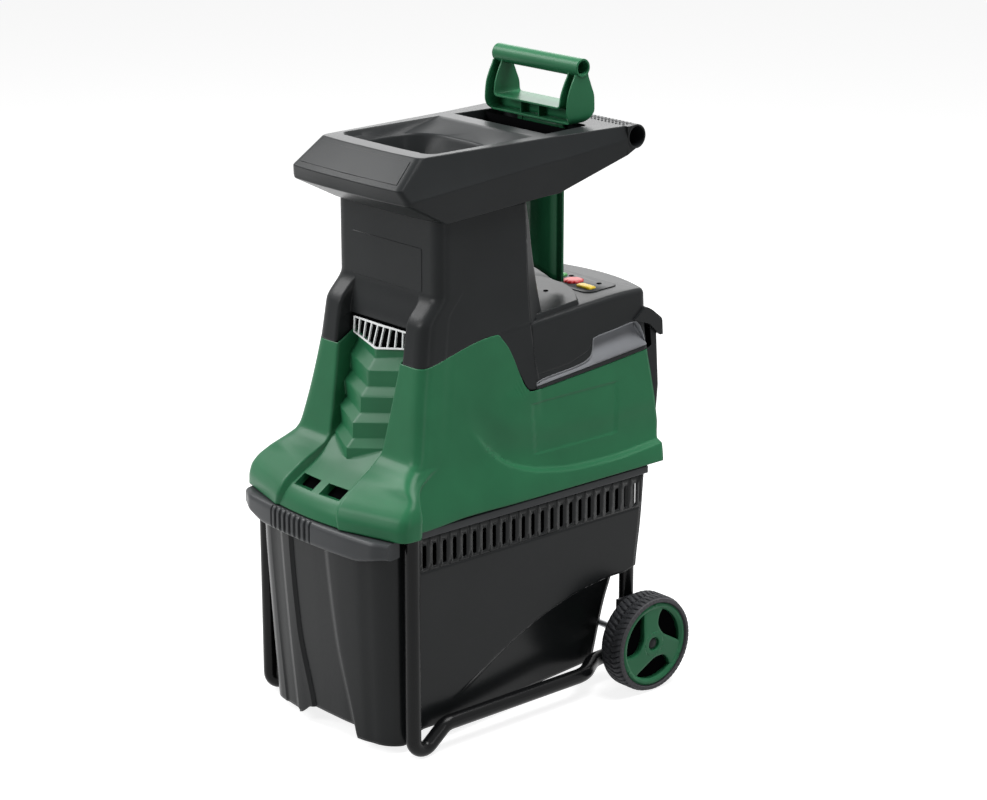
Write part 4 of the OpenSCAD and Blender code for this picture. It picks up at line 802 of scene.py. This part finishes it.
# %% Collection box
BOX_FLOOR, SLOT_LOW, BOX_TOP, FOOT_H = 31.0, 291.0, 347.0, 19.0
SLOTS, SLOT_PITCH, SLOT_W, SLOT_H, SLOT_Z, SLOT_Y = 23, 20.1, 8.0, 37.0, 315.0, 39.0
CORNER_R, CORNER_TURN = 47.0, math.radians(11)
RECESS_Y, RECESS_Z, RECESS_DEPTH = (93.0, 447.0), (65.0, 185.0), 34.0
box_half = eased([(13, 156), (31, 157), (200, 161), (291, 163), (347, 163)])
box_front = eased([(13, -31), (31, -32), (180, -41), (306, -47), (347, -48)])
REAR_LINE = [(13, 420), (31, 425), (133, 453), (172, 467)]
box_rear = eased([*REAR_LINE, (347, 467)])
fin_rear = eased([*REAR_LINE, (186, 470), (191, 487.5), (199, 488), (267, 495), (347, 501)])
rib_left = eased([(11, -58), (160, -68), (287, -74), (347, -76)])
rib_right = eased([(11, -20), (31, -22), (160, -47), (288, -54), (347, -55)])
fold_line = eased([(11, 78), (28, 76), (180, 47), (304, 35), (347, 32)])
front_bow = eased([(0, 0), (0.3, 0.4), (0.5, 2.6), (0.75, 8.0), (0.86, 11.2), (1.0, 16.0)])


def box_side(y, z):
    """Half width at a point of the side: the draft, and the step inward below the arc."""
    t = np.clip((y - RECESS_Y[0]) / (RECESS_Y[1] - RECESS_Y[0]), 0.0, 1.0)
    arch = mix(*RECESS_Z, np.sin(t * math.pi / 2))
    return box_half(z) - RECESS_DEPTH * t ** 1.2 * (1 - step(z, arch - 10, arch))


def spread(marks, counts):
    """Columns through all marks, with a count of even steps between each mark and the next."""
    parts = [mix(a, b, np.linspace(0, 1, n + 1)[None, :-1]) for a, b, n in zip(marks, marks[1:], counts)]
    return np.concatenate(parts + [marks[-1]], axis=1)


def box_front_wall(levels):
    """Front wall and both corners: columns follow the rib, the band and the fold, which make its relief."""
    z = levels[:, None]
    half, left, right, fold = (f(z) for f in (box_half, rib_left, rib_right, fold_line))
    end = half - CORNER_R * (1 - math.sin(CORNER_TURN))
    band_edges = (left - 46, left - 42, left - 13, left - 9)
    rib_edges = (left - 2, left + 2, right - 2, right + 2)
    marks = [-end, *band_edges, *rib_edges, fold - 3, fold + 1, end]
    x = spread(marks, (9, 2, 6, 2, 2, 3, 5, 3, 14, 3, 14))
    y = box_front(z) + front_bow(np.abs(x) / half)
    relief = 2.0 * between(x, *band_edges) - 5.0 * between(x, *rib_edges) - 2.5 * step(x, fold - 3, fold + 1)
    dressed = y + relief * (1 - step(np.abs(x), end - 24, end))
    a = np.linspace(CORNER_TURN, math.pi / 2, 14)[None, 1:]
    corner_x = half - CORNER_R + CORNER_R * np.sin(a)
    corner_y = y[:, -1:] + CORNER_R * (math.cos(CORNER_TURN) - np.cos(a))
    return point(np.concatenate([-corner_x[:, ::-1], x, corner_x], axis=1),
                 np.concatenate([corner_y[:, ::-1], dressed, corner_y], axis=1), z)


levels = merged(
    np.linspace(BOX_FLOOR, 60, 8), np.linspace(64, 186, 62), [188.5, 191], np.linspace(196, SLOT_LOW, 20))
z = levels[:, None]
front = box_front_wall(levels)
y = mix(front[:, -1:, 1], fin_rear(z), np.linspace(0, 1, 70)[None, 1:])
side = point(box_side(y, z), y, z)
low = np.concatenate([side[:, ::-1] * (-1, 1, 1), front, side], axis=1)
x, y = low[0, :, 0], low[0, :, 1]
foot = FOOT_H * (1 - between(x, -58, -24, 76, 82)) * (1 - step(y, 0, 40))
low[..., 2] -= foot * (SLOT_LOW - z) / (SLOT_LOW - BOX_FLOOR)

levels = np.linspace(SLOT_LOW, BOX_TOP, 12)
edge = point(box_half(levels), SLOT_Y - SLOT_PITCH / 2, levels)[:, None]
high = np.concatenate([edge * (-1, 1, 1), box_front_wall(levels), edge], axis=1)
skin = Skin().grid(low).grid(high)


def slot_cells(wide, low, high):
    """Rectangles (y, z) round the middles of all air slots."""
    y = SLOT_Y + SLOT_PITCH * np.arange(SLOTS)
    corners = ((-1, low), (1, low), (1, high), (-1, high))
    return np.stack([point(y + s * wide / 2, z) for s, z in corners], axis=1)


outer = rounded(slot_cells(SLOT_PITCH, SLOT_LOW, BOX_TOP), 0.0, 2, 5, True)
inner = rounded(slot_cells(SLOT_W, SLOT_Z - SLOT_H / 2, SLOT_Z + SLOT_H / 2), 3.6, 2, 5, True)
for out, hole in zip(outer, inner):
    y, z = np.stack([out, hole]).transpose(2, 0, 1)
    sheet = point(box_half(z), y, z)
    skin.tube(sheet).tube(sheet * (-1, 1, 1))
levels = np.linspace(SLOT_LOW, BOX_TOP, 6)
last_cell = SLOT_Y + (SLOTS - 0.5) * SLOT_PITCH
tail = np.stack([point(box_half(levels), y, levels) for y in (last_cell, fin_rear(levels))], axis=1)
skin.grid(tail).grid(tail * (-1, 1, 1))
z = np.linspace(BOX_FLOOR, BOX_TOP, 50)[:, None]
across = np.linspace(-1, 1, 30)
rear = box_rear(z) - 1
skin.grid(point((box_side(rear, z) - 1) * across, rear, z))
skin.piece("box_walls", "black_plastic", BOX_BLACK, body="box", nodes=["collection_box"], wall=3.0, sharp=32)

run = np.linspace(0, 1, 60)[:, None]
y = mix(-26.0, 424.0, run)
x = (box_side(y, BOX_FLOOR) - 2) * np.minimum(1.0, 0.72 + 3 * run) * across
Skin().grid(point(x, y, BOX_FLOOR + 2)).piece("box_floor", "black_plastic", BOX_BLACK, body="box", wall=3.0)

FLANGE_X, FLANGE_Y, FLANGE_Z = (158.0, 167.5), (16.0, 506.0), (346.0, 358.5)
corners = [(FLANGE_X[i], FLANGE_Z[j]) for i, j in ((0, 0), (1, 0), (1, 1), (0, 1))]
section = rounded([corners], 2.0, 1, 4, True)[0]
flange = point(section[:, 0], np.array(FLANGE_Y)[:, None], section[:, 1])
Skin().plug(flange).mirror().piece("box_flange", "black_plastic", RIM_GREY, body="box", sharp=40)

# %% [markdown]
# ## The grip of the box
# A bowed bar across the front pulls the box out. Its section is a rounded block, carried along an arc that
# runs past the legs on both sides. Finger grooves sit to the left of the middle.

# %% Box grip
GRIP_FRONT, GRIP_ENDS, GRIP_BOW, BAR_TOP, BAR_H, BAR_D = -67.0, 176.0, 15.0, 357.5, 41.0, 24.0
GROOVES, GROOVE_PITCH, GROOVE_MIDDLE, GROOVE_DEPTH = 8, 12.8, -34.0, 3.2
section = rounded([[(0, -BAR_H), (BAR_D, -BAR_H + 4), (BAR_D, 0), (0, 0)]], [17, 3, 5, 18], 6, 10, True)[0]
depth, drop = section.T
x = merged(np.linspace(-GRIP_ENDS, GRIP_ENDS, 121), np.linspace(-90, 24, 215))[:, None]
u = np.abs(x) / GRIP_ENDS
bar_y = GRIP_FRONT + GRIP_BOW * u ** 2 + 9 * step(u, 0.84, 1.04)
tall = 1 - 0.32 * step(u, 0.62, 1.0)
wave = (x - GROOVE_MIDDLE) / GROOVE_PITCH + GROOVES / 2
grooved = between(wave, -0.1, 0.1, GROOVES - 0.1, GROOVES + 0.1) * step(np.cos(2 * math.pi * wave), -0.2, 0.5)
on_front = (1 - step(depth, 0.5, 8)) * step(drop, -BAR_H + 2, -BAR_H + 10)
bar = point(x, bar_y + depth + GROOVE_DEPTH * grooved * on_front, BAR_TOP + drop * tall)
Skin().plug(bar).piece("box_grip_bar", "black_plastic", RIM_GREY, body="box", sharp=45)

# %% [markdown]
# ## The motor cover
# The cover over the motor continues the chute's sides to the rear, with a rounded edge all round its top.
# In each side a hand grip is let in: the skin stops at the grip's upper curve and starts again at its lower
# one, and a grey scoop closes the gap, shallow below and deep under the overhang. A low step with an arched
# edge lies on the roof, in front of the controls.

# %% Motor cover
MOTOR_FRONT, MOTOR_STRAIGHT, MOTOR_REAR, MOTOR_BOW, EDGE_R = 289.0, 522.0, 561.0, 27.5, 9.0
MOTOR_HALF, ROOF_REAR = 126.0, 500.0
grip_high = eased([
    (280, 528), (299, 536), (389, 546), (406, 553), (412, 562), (416, 580.6), (463, 586.6), (500, 591),
    (509, 591.5), (517, 586), (525, 570), (531, 554), (534, 548), (538, 546), (565, 546)])
motor_top = eased([(280, 628.5), (291, 629), (420, 638), (500, 642), (560, 641)])


def grip_low(y):
    """Lower curve of the hand grip: a straight slope that never passes the upper curve."""
    return np.minimum(527.5 + (y - 280) * 22.5 / 252, grip_high(y))


straight = merged(
    np.linspace(MOTOR_FRONT, MOTOR_STRAIGHT, 74), np.linspace(404, 420, 20),
    np.linspace(500, MOTOR_STRAIGHT, 8))
CORNER_SHARE, CORNER_Y = (0.998, 0.99, 0.975, 0.955), (526.0, 529.8, 532.6, 534.4)
bow_share = np.linspace(0.93, 0.0, 32)
share_x = np.concatenate([1 + 0 * straight, CORNER_SHARE, bow_share])
plan_y = np.concatenate([straight, CORNER_Y, MOTOR_REAR - MOTOR_BOW * bow_share ** 2])
along = np.gradient(point(MOTOR_HALF * share_x, plan_y), axis=0)
out_x, out_y = np.stack([along[:, 1], -along[:, 0]]) / np.linalg.norm(along, axis=1)
out_x[-1], out_y[-1] = 0.0, 1.0


def motor_wall(z, shrink=0.0):
    """Wall at heights z: the side's half width times the plan's share, moved in along the plan's normal."""
    return point(side_half(z) * share_x - shrink * out_x, plan_y - shrink * out_y, z)


rows = np.linspace(0, 1, 6)[:, None]
lower = motor_wall(mix(seam_z(plan_y) + 1.0, grip_low(plan_y), rows))
lower += 1.2 * (1 - step(rows, 0.6, 1.0))[..., None] * point(out_x, out_y, 0)
rows = merged(np.linspace(0, 0.28, 26), np.linspace(0.31, 1.0, 22))[:, None]
wall_top = motor_top(plan_y) - EDGE_R
upper = motor_wall(mix(grip_high(plan_y), wall_top, rows))
groove_z = np.interp(plan_y, (289, 299, 364, 404, 415), (544, 545, 550, 562, 576))
upper[..., 0] -= groove(upper[..., 2] - groove_z, 0.8, 1.2) * (1 - step(plan_y, 411, 416))
a = np.linspace(0, math.pi / 2, 8)[1:, None]
rim = motor_wall(wall_top + EDGE_R * np.sin(a), EDGE_R * (1 - np.cos(a)))
spine_y = np.minimum(plan_y, ROOF_REAR)
roof = mix(rim[-1], point(0, spine_y, motor_top(spine_y) + 1.0), np.linspace(0, 1, 12)[1:, None, None])
Skin().grid(lower).grid(np.concatenate([upper, rim, roof])).mirror().piece(
    "motor_cover_skin", "black_plastic", nodes=["motor_cover"], wall=3.0, sharp=38)

y = merged(np.linspace(290, 534, 90), np.linspace(404, 420, 20), np.linspace(505, 534, 24))
v = np.linspace(0, 1, 18)[:, None]
z = mix(grip_low(y) - 0.5, grip_high(y), v)
depth = 1.0 + (0.36 * (grip_high(y) - grip_low(y))).clip(0, 15) * step(v, 0.0, 0.85)
scoop = point(side_half(z) * np.interp(y, plan_y, share_x) - depth, y, z)
lid = scoop[-1:] + point(depth[-1:], 0, 0.4)
for name, side in SIDES:
    Skin().grid(np.concatenate([scoop, lid])).side(side).piece(
        f"side_grip_{name}_scoop", "grey_plastic", nodes=[f"side_grip_{name}"], wall=2.0, sharp=40)

STEP_H, STEP_X, STEP_SIDE, STEP_REAR, STEP_FLAT = 7.0, 113.0, 396.0, 448.0, 392.0
bow_share = np.linspace(1, 0, 36)
x = np.concatenate([(STEP_X + 4.0, STEP_X + 2.0), STEP_X * bow_share])
y = np.concatenate([(302.0, 352.0), mix(STEP_SIDE, STEP_REAR, 1 - bow_share ** 2)])
STEP_RINGS = (
    (1.03, 3.0, -9.0), (1.002, 0.3, -0.8), (0.994, -0.5, 0.0), (0.95, -3.0, 0.1), (0.5, 0.0, 0.6),
    (0.0, 0.0, 0.6))
wide, back, up = np.array(STEP_RINGS).T[..., None]
y = y + back
y[4:] = np.minimum(y[4:], STEP_FLAT)
Skin().grid(point(x * wide, y, motor_top(y) + STEP_H + up)).mirror().piece(
    "motor_cover_step", "black_plastic", sharp=25)

# %% [markdown]
# ## The rear wall and its lip
# Below the motor cover a flat wall closes the rear, with rows of louvres for the cooling air. A hooked lip
# runs across above it, and its section bows to the rear in the middle.

# %% Rear wall and lip
rear_edge = eased([(366, 522), (400, 537), (430, 547), (458, 552), (515, 558), (560, 561), (592, 562)])
LOUVRE_X, LOUVRE_Z, LOUVRE_PITCH, LOUVRE_DEPTH = 78.0, (393.0, 471.0), 13.0, 5.0
levels = np.linspace(366, 592, 142)
half = side_half(levels) - np.interp(levels, (430, 480), (11, 4))
start, rear = np.interp(levels, (530, 545), (510, 546)), rear_edge(levels)
plan = np.stack([point(half, start), point(half, rear), point(0, rear + 4)], axis=1)
x, y = rounded(plan, [0, 6, 0], straight=20, bend=8).transpose(2, 0, 1)
z = levels[:, None]
tilt = 1 - ((z - LOUVRE_Z[0]) / LOUVRE_PITCH) % 1.0
in_field = (1 - step(np.abs(x), LOUVRE_X, LOUVRE_X + 3)) * (z > LOUVRE_Z[0]) * (z < LOUVRE_Z[1])
Skin().grid(point(x, y - LOUVRE_DEPTH * in_field * tilt, z)).mirror().piece(
    "rear_wall", "black_plastic", nodes=["rear_panel"], wall=3.0, sharp=35)

LIP_X, LIP_BOW = 133.0, 14.0
HOOK = [(504, 594), (531, 612), (543, 606), (567, 587), (569, 560), (562, 560), (538, 583)]
y, z = rounded([HOOK], [1, 3, 6, 5, 1, 1, 6], 4, 7, True)[0].T
x = np.linspace(-LIP_X, LIP_X, 41)[:, None]
hook = point(x, y + LIP_BOW * (1 - (x / LIP_X) ** 2) * np.clip((y - 508) / 45, 0, 1), z)
Skin().plug(hook).piece("rear_lip_hook", "black_plastic", nodes=["rear_lip"], bevel=1.0, sharp=35)

# %% [markdown]
# ## The controls
# The panel is a thin plate let into the motor cover's top. The start button is a dome, the stop button a
# disc with notches round its edge and the reverse button a rounded block. Three dark screw heads hold the
# panel and the step.

# %% Controls
def upright(profile, centre, count=64, notch=0.0, notches=8):
    """Turns a profile of (radius, z) about an upright axis; notches press in the rim's radius."""
    profile = np.asarray(profile, float)
    a = ring(count)
    r = profile[:, :1] * (1 - notch * step(np.cos(notches * a), 0.2, 0.8))
    return point(centre[0] + r * np.cos(a), centre[1] + r * np.sin(a), profile[:, 1:])


plate = np.stack([loop(90 - d, 443 + d, 512 - d, h, 18.0) for d, h in ((0, -3.0), (0, 1.2), (0.7, 1.7))])
plate[..., 2] += motor_top(plate[..., 1])
Skin().plug(plate).piece("control_panel", "black_plastic", nodes=["switch_panel"], sharp=30)
dome = upright([(10, 636), (10, 643.6), (9.2, 645.4), (6, 646.6), (0.01, 647)], (-18, 485))
Skin().tube(dome).cap(dome[0]).piece(
    "start_dome", "button_green", body="start", nodes=["start_button"], sharp=50)
DISC = [(17, 636), (17, 643), (16.2, 645), (14, 645.8), (8, 646.2), (0.01, 646.2)]
disc = upright(DISC, (21, 475), 128, 0.08)
Skin().tube(disc).cap(disc[0]).piece("stop_disc", "button_red", body="stop", nodes=["stop_button"], sharp=50)
KEY_RINGS = ((0, 636), (0, 643), (0.7, 644.8), (2.4, 645.6))
key = np.stack([loop(17 - d, 456 + d, 473 - d, z, 6.0) for d, z in KEY_RINGS]) + (61, 0, 0)
Skin().plug(key).piece("reverse_key", "button_yellow", body="reverse", nodes=["reverse_button"], sharp=45)
skin = Skin()
for x, y, up in ((-2.5, 492, 1.9), (63, 492, 1.9), (41, 396, 7.9)):
    head = upright([(4.2, -2.0), (4.2, 0.1), (3.6, 0.5), (0.01, 0.5)], (x, y), 24) + (0, 0, motor_top(y) + up)
    skin.tube(head).cap(head[0])
skin.piece("panel_screw_heads", "black_plastic", SHADE, nodes=["panel_screws"], sharp=40)

# %% [markdown]
# ## The plunger
# The handle is a tube over a frame of thin walls: an outer strip runs down each cheek and under the base, an
# inner strip makes the hand hole, and a web joins the two in the middle, so the front is an open channel.
# The strips are wide or narrow in y by height alone. Below hangs the blade, bulged to the front between
# two flat flanges, with an arched lower edge.

# %% Plunger
HANDLE_Y, HANDLE_Z, HANDLE_R, HANDLE_BORE, HANDLE_X = 419.0, 1005.5, 14.5, 11.0, 98.5
ON_PLUNGER = {"slot": "green_plastic", "body": "plunger"}
Skin().band(pipe(HANDLE_X, HANDLE_BORE, HANDLE_R, (HANDLE_Y, HANDLE_Z))).piece(
    "plunger_tube", nodes=["plunger_handle"], bevel=1.0, sharp=40, **ON_PLUNGER)
cheek_front = eased([
    (910, 398), (917, 397), (926, 390.5), (937, 387.5), (959, 389.5), (980, 397), (995, 404.5), (1002, 406)])
cheek_rear = eased([
    (910, 425), (917, 426), (926, 438), (937, 446), (956, 445.5), (978, 438), (994, 432), (1002, 431)])
outer = rounded([[(96.5, 0, 996), (96.5, 0, 917.5), (0, 0, 917.5)]], [0, 13, 0], 16, 9)[0]
inner = rounded([[(79, 0, 998), (77.5, 0, 941), (0, 0, 941)]], [0, 9, 0], 16, 9)[0]


def wall_strip(path, trim):
    """Sweeps a path in x and z through y, from the front edge to the rear edge at each height."""
    x, _, z = path.T
    return point(x, mix(cheek_front(z) + trim, cheek_rear(z) - trim, np.linspace(0, 1, 7)[:, None]), z)


Skin().grid(wall_strip(outer, 0.0)).grid(wall_strip(inner, 2.0)).mirror().piece(
    "plunger_frame", wall=3.0, bevel=0.6, sharp=40, **ON_PLUNGER)
web = mix(outer, inner, np.linspace(0.14, 0.9, 5)[:, None, None]) + (0, HANDLE_Y, 0)
Skin().grid(web).mirror().piece("plunger_web", wall=3.0, sharp=40, **ON_PLUNGER)
rib = np.stack([loop(1.3, 403.0, 424.0, z, 0.3) for z in (916.0, 942.0)])
Skin().plug(rib + (-28, 0, 0)).plug(rib + (14, 0, 0)).piece("plunger_ribs", sharp=30, **ON_PLUNGER)

BLADE_TOP, BLADE_FOOT, BULGE_X, BLADE_ARCH, BLADE_Y, FLANGE_FRONT = 916.0, 656.5, 41.0, 20.0, 420.0, 418.0
SECTION = [(53, 423), (53, 419), (BULGE_X, 419), (37, 411), (22, 402), (0, 399.5)]
x, y = rounded([SECTION], [0, 0.5, 1.5, 8, 12, 0], 6, 6)[0].T
foot = BLADE_FOOT + BLADE_ARCH * (1 - (x / BULGE_X) ** 2).clip(0)
z = mix(foot, BLADE_TOP, np.linspace(0, 1, 27)[:, None])
flatter = np.where(y < FLANGE_FRONT, 1 - 0.8 * step(z, 850, 890), 1)
Skin().grid(point(x, BLADE_Y + (y - BLADE_Y) * flatter, z)).mirror().piece(
    "plunger_blade_skin", nodes=["plunger_blade"], wall=3.0, sharp=35, **ON_PLUNGER)

# %% [markdown]
# ## The wheels
# A tyre is a section turned about the axle whose tread radius also depends on the angle: slanted grooves
# are cut where a zigzag of angle and width is low. The hub is three equal sectors, each with a leaf-shaped
# window, made of cells between the window's edge and the sector's edge. A dark disc behind the windows
# paints the shade inside the wheel.

# %% Wheels
lo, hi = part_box("tyre_right")
WHEEL_Y, WHEEL_Z = (lo.y + hi.y) / 2 / MM - LEG_Y, (lo.z + hi.z) / 2 / MM
TYRE_R, RIM_R, TYRE_IN, TYRE_OUT, TREADS, TICKS = 80.0, 69.0, 186.0, 234.0, 52, 64
HUB_R, BOSS_R, HUB_X, WINDOW_R, WINDOW_BACK, BORE_R, SLEEVE_R = 68.0, 20.0, 227.0, 61.5, 220.0, 6.2, 14.0


def about_axle(x, radius, angle):
    """Points at x with a radius and an angle about the axle."""
    return point(x, WHEEL_Y + radius * np.cos(angle), WHEEL_Z + radius * np.sin(angle))


def axle_ring(x0, x1, r0, r1, count):
    """Closed ring about the axle with a rectangular section."""
    return turned([(x0, r0), (x0, r1), (x1, r1), (x1, r0)], (WHEEL_Y, WHEEL_Z), count)


turn = ring(TREADS * 12)
flank = [(TYRE_IN + 4, RIM_R), (TYRE_IN, RIM_R + 3), (TYRE_IN + 1.5, TYRE_R - 4), (TYRE_IN + 7, TYRE_R)]
flank += [(TYRE_IN + TYRE_OUT - x, r) for x, r in reversed(flank)]
section = rounded([flank], [0, 2, 3, 5, 5, 3, 2, 0], 5, 5)[0]
x, r = section[:, :1], section[:, 1:]
from_middle = x - (TYRE_IN + TYRE_OUT) / 2
slant = TREADS * turn / (2 * math.pi) + 0.045 * np.abs(from_middle) + 0.5 * (from_middle > 0)
wave = np.abs(slant % 1.0 - 0.5) * 2
tread = step(r, TYRE_R - 3.2, TYRE_R - 1.0)
cut = 2.2 * tread * (1 - step(wave, 0.14, 0.28))
line = 1.8 * tread * (1 - step(np.abs(from_middle), 0.8, 2.0)) * (1 - step(wave, 0.55, 0.7))
tick = 0.5 * (1 - step(wave, 0.1, 0.25)) * (1 - tread) * step(r, RIM_R + 2, RIM_R + 4)
tyre = about_axle(x, r - cut - line - tick, turn)
SEAT = [(TYRE_OUT - 4, RIM_R), (TYRE_OUT - 6, RIM_R - 1), (TYRE_IN + 6, RIM_R - 1), (TYRE_IN + 4, RIM_R)]
seat = turned(SEAT, (WHEEL_Y, WHEEL_Z), turn.size)
WALL_BAND = np.array([(-2.5, 70.5), (0.3, 71.2), (0.4, 73.5), (-0.2, 76.5), (-2.6, 77.6)])
turn = ring(TICKS * 8)
dent = 0.7 * step(np.cos(TICKS * turn), 0.5, 0.9) * np.array((0, 0, 1, 1, 0))[:, None]
tyre_wall = about_axle(TYRE_OUT + WALL_BAND[:, :1] - dent, WALL_BAND[:, 1:], turn)

share = np.linspace(0, 1, 25)


def arc(radius, a0, a1):
    """Points of an arc about the axle, as (y, z) from it."""
    a = np.radians(mix(a0, a1, share))
    return radius * point(np.cos(a), np.sin(a))


def spaced(line, count):
    """The same line with evenly spaced points."""
    run = np.concatenate([[0], np.cumsum(np.linalg.norm(np.diff(line, axis=0), axis=1))])
    at = np.linspace(0, run[-1], count)
    return point(*[np.interp(at, run, values) for values in line.T])


def hub_face(flat):
    """Dishes a flat pattern: a bead round the rim, a gentle dome, and a deep seat for the cap."""
    r = np.linalg.norm(flat, axis=-1)
    bead = 2.6 * step(r, 61, 64.5) - 2.5 * step(r, 65.5, 68)
    x = HUB_X + bead + 1.5 * (1 - step(r, 10, 58)) - 4.5 * (1 - step(r, 12.0, 13.5))
    return point(x, WHEEL_Y + flat[..., 0], WHEEL_Z + flat[..., 1])


FIRST, LAST = -27.0, 93.0
rim_arc, boss_arc, window_rim = arc(HUB_R, FIRST, LAST), arc(BOSS_R, LAST, FIRST), arc(WINDOW_R, -12.0, 71.5)
LEAF = [(10.5, 48.5), (6.0, 31.5), (17.5, 12.0)]
belly = rounded([[window_rim[-1], *LEAF, window_rim[0]]], [0, 8, 9, 9, 0], 6, 8)[0]
spoke_out = mix(rim_arc[-1], boss_arc[0], share[:, None])
spoke_in = mix(boss_arc[-1], rim_arc[0], share[:, None])
sector = np.concatenate([rim_arc, spoke_out, boss_arc, spoke_in])
window = np.concatenate([window_rim, spaced(belly, 75)])
cells = mix(sector, window, np.array((0.0, 0.2, 0.4, 0.6, 0.8, 0.94, 1.0))[:, None, None])
boss = np.array((BOSS_R, 18, 16, 14.5, 13.5, 12.5, 11.5, 10.5, 9.2))[:, None, None] * circle(150)
CAP = [(219, 10.4), (224.5, 10.4), (226.8, 9.4), (228.6, 7.0), (229.6, 3.8), (229.8, 0.01)]
cap = turned(CAP, (WHEEL_Y, WHEEL_Z), 48)
barrel = axle_ring(TYRE_IN + 2, TYRE_OUT - 5, RIM_R - 2.5, RIM_R, 120)
sleeve = axle_ring(162, HUB_X - 4, BORE_R, SLEEVE_R, 48)
# Painted shade: a dark disc behind the hub's windows stands for the shade inside the wheel.
window_shade_disc = axle_ring(WINDOW_BACK - 2, WINDOW_BACK + 1, SLEEVE_R, RIM_R - 3, 96)
for name, side in SIDES:
    body = f"wheel_{name}"
    Skin().tube(tyre).tube(seat).side(side).piece(
        f"tyre_{name}_tread", "tyre", body=body, nodes=[f"tyre_{name}"], sharp=40)
    Skin().tube(tyre_wall).side(side).piece(f"tyre_{name}_wall", "tyre", SIDEWALL, body=body, sharp=40)
    hub = Skin()
    for c, s in circle(3):
        face = hub_face(cells @ np.array([[c, s], [-s, c]]))
        hub.tube(face).tube(np.stack([face[-1], face[-1] * (0, 1, 1) + (WINDOW_BACK, 0, 0)]))
    hub.tube(hub_face(boss)).side(side).piece(
        f"wheel_hub_{name}_disc", "green_plastic", body=body, nodes=[f"wheel_hub_{name}"],
        wall=3.0, sharp=35, weld=0.3)
    Skin().band(barrel).band(sleeve).side(side).piece(
        f"wheel_rim_{name}", "green_plastic", body=body, sharp=40)
    Skin().band(window_shade_disc).side(side).piece(f"wheel_window_shade_{name}", "black_plastic", SHADE, body=body, sharp=40)
    Skin().tube(cap).cap(cap[0]).side(side).piece(
        f"hub_cap_{name}_dome", "black_plastic", body=body, nodes=[f"hub_cap_{name}"], sharp=50)
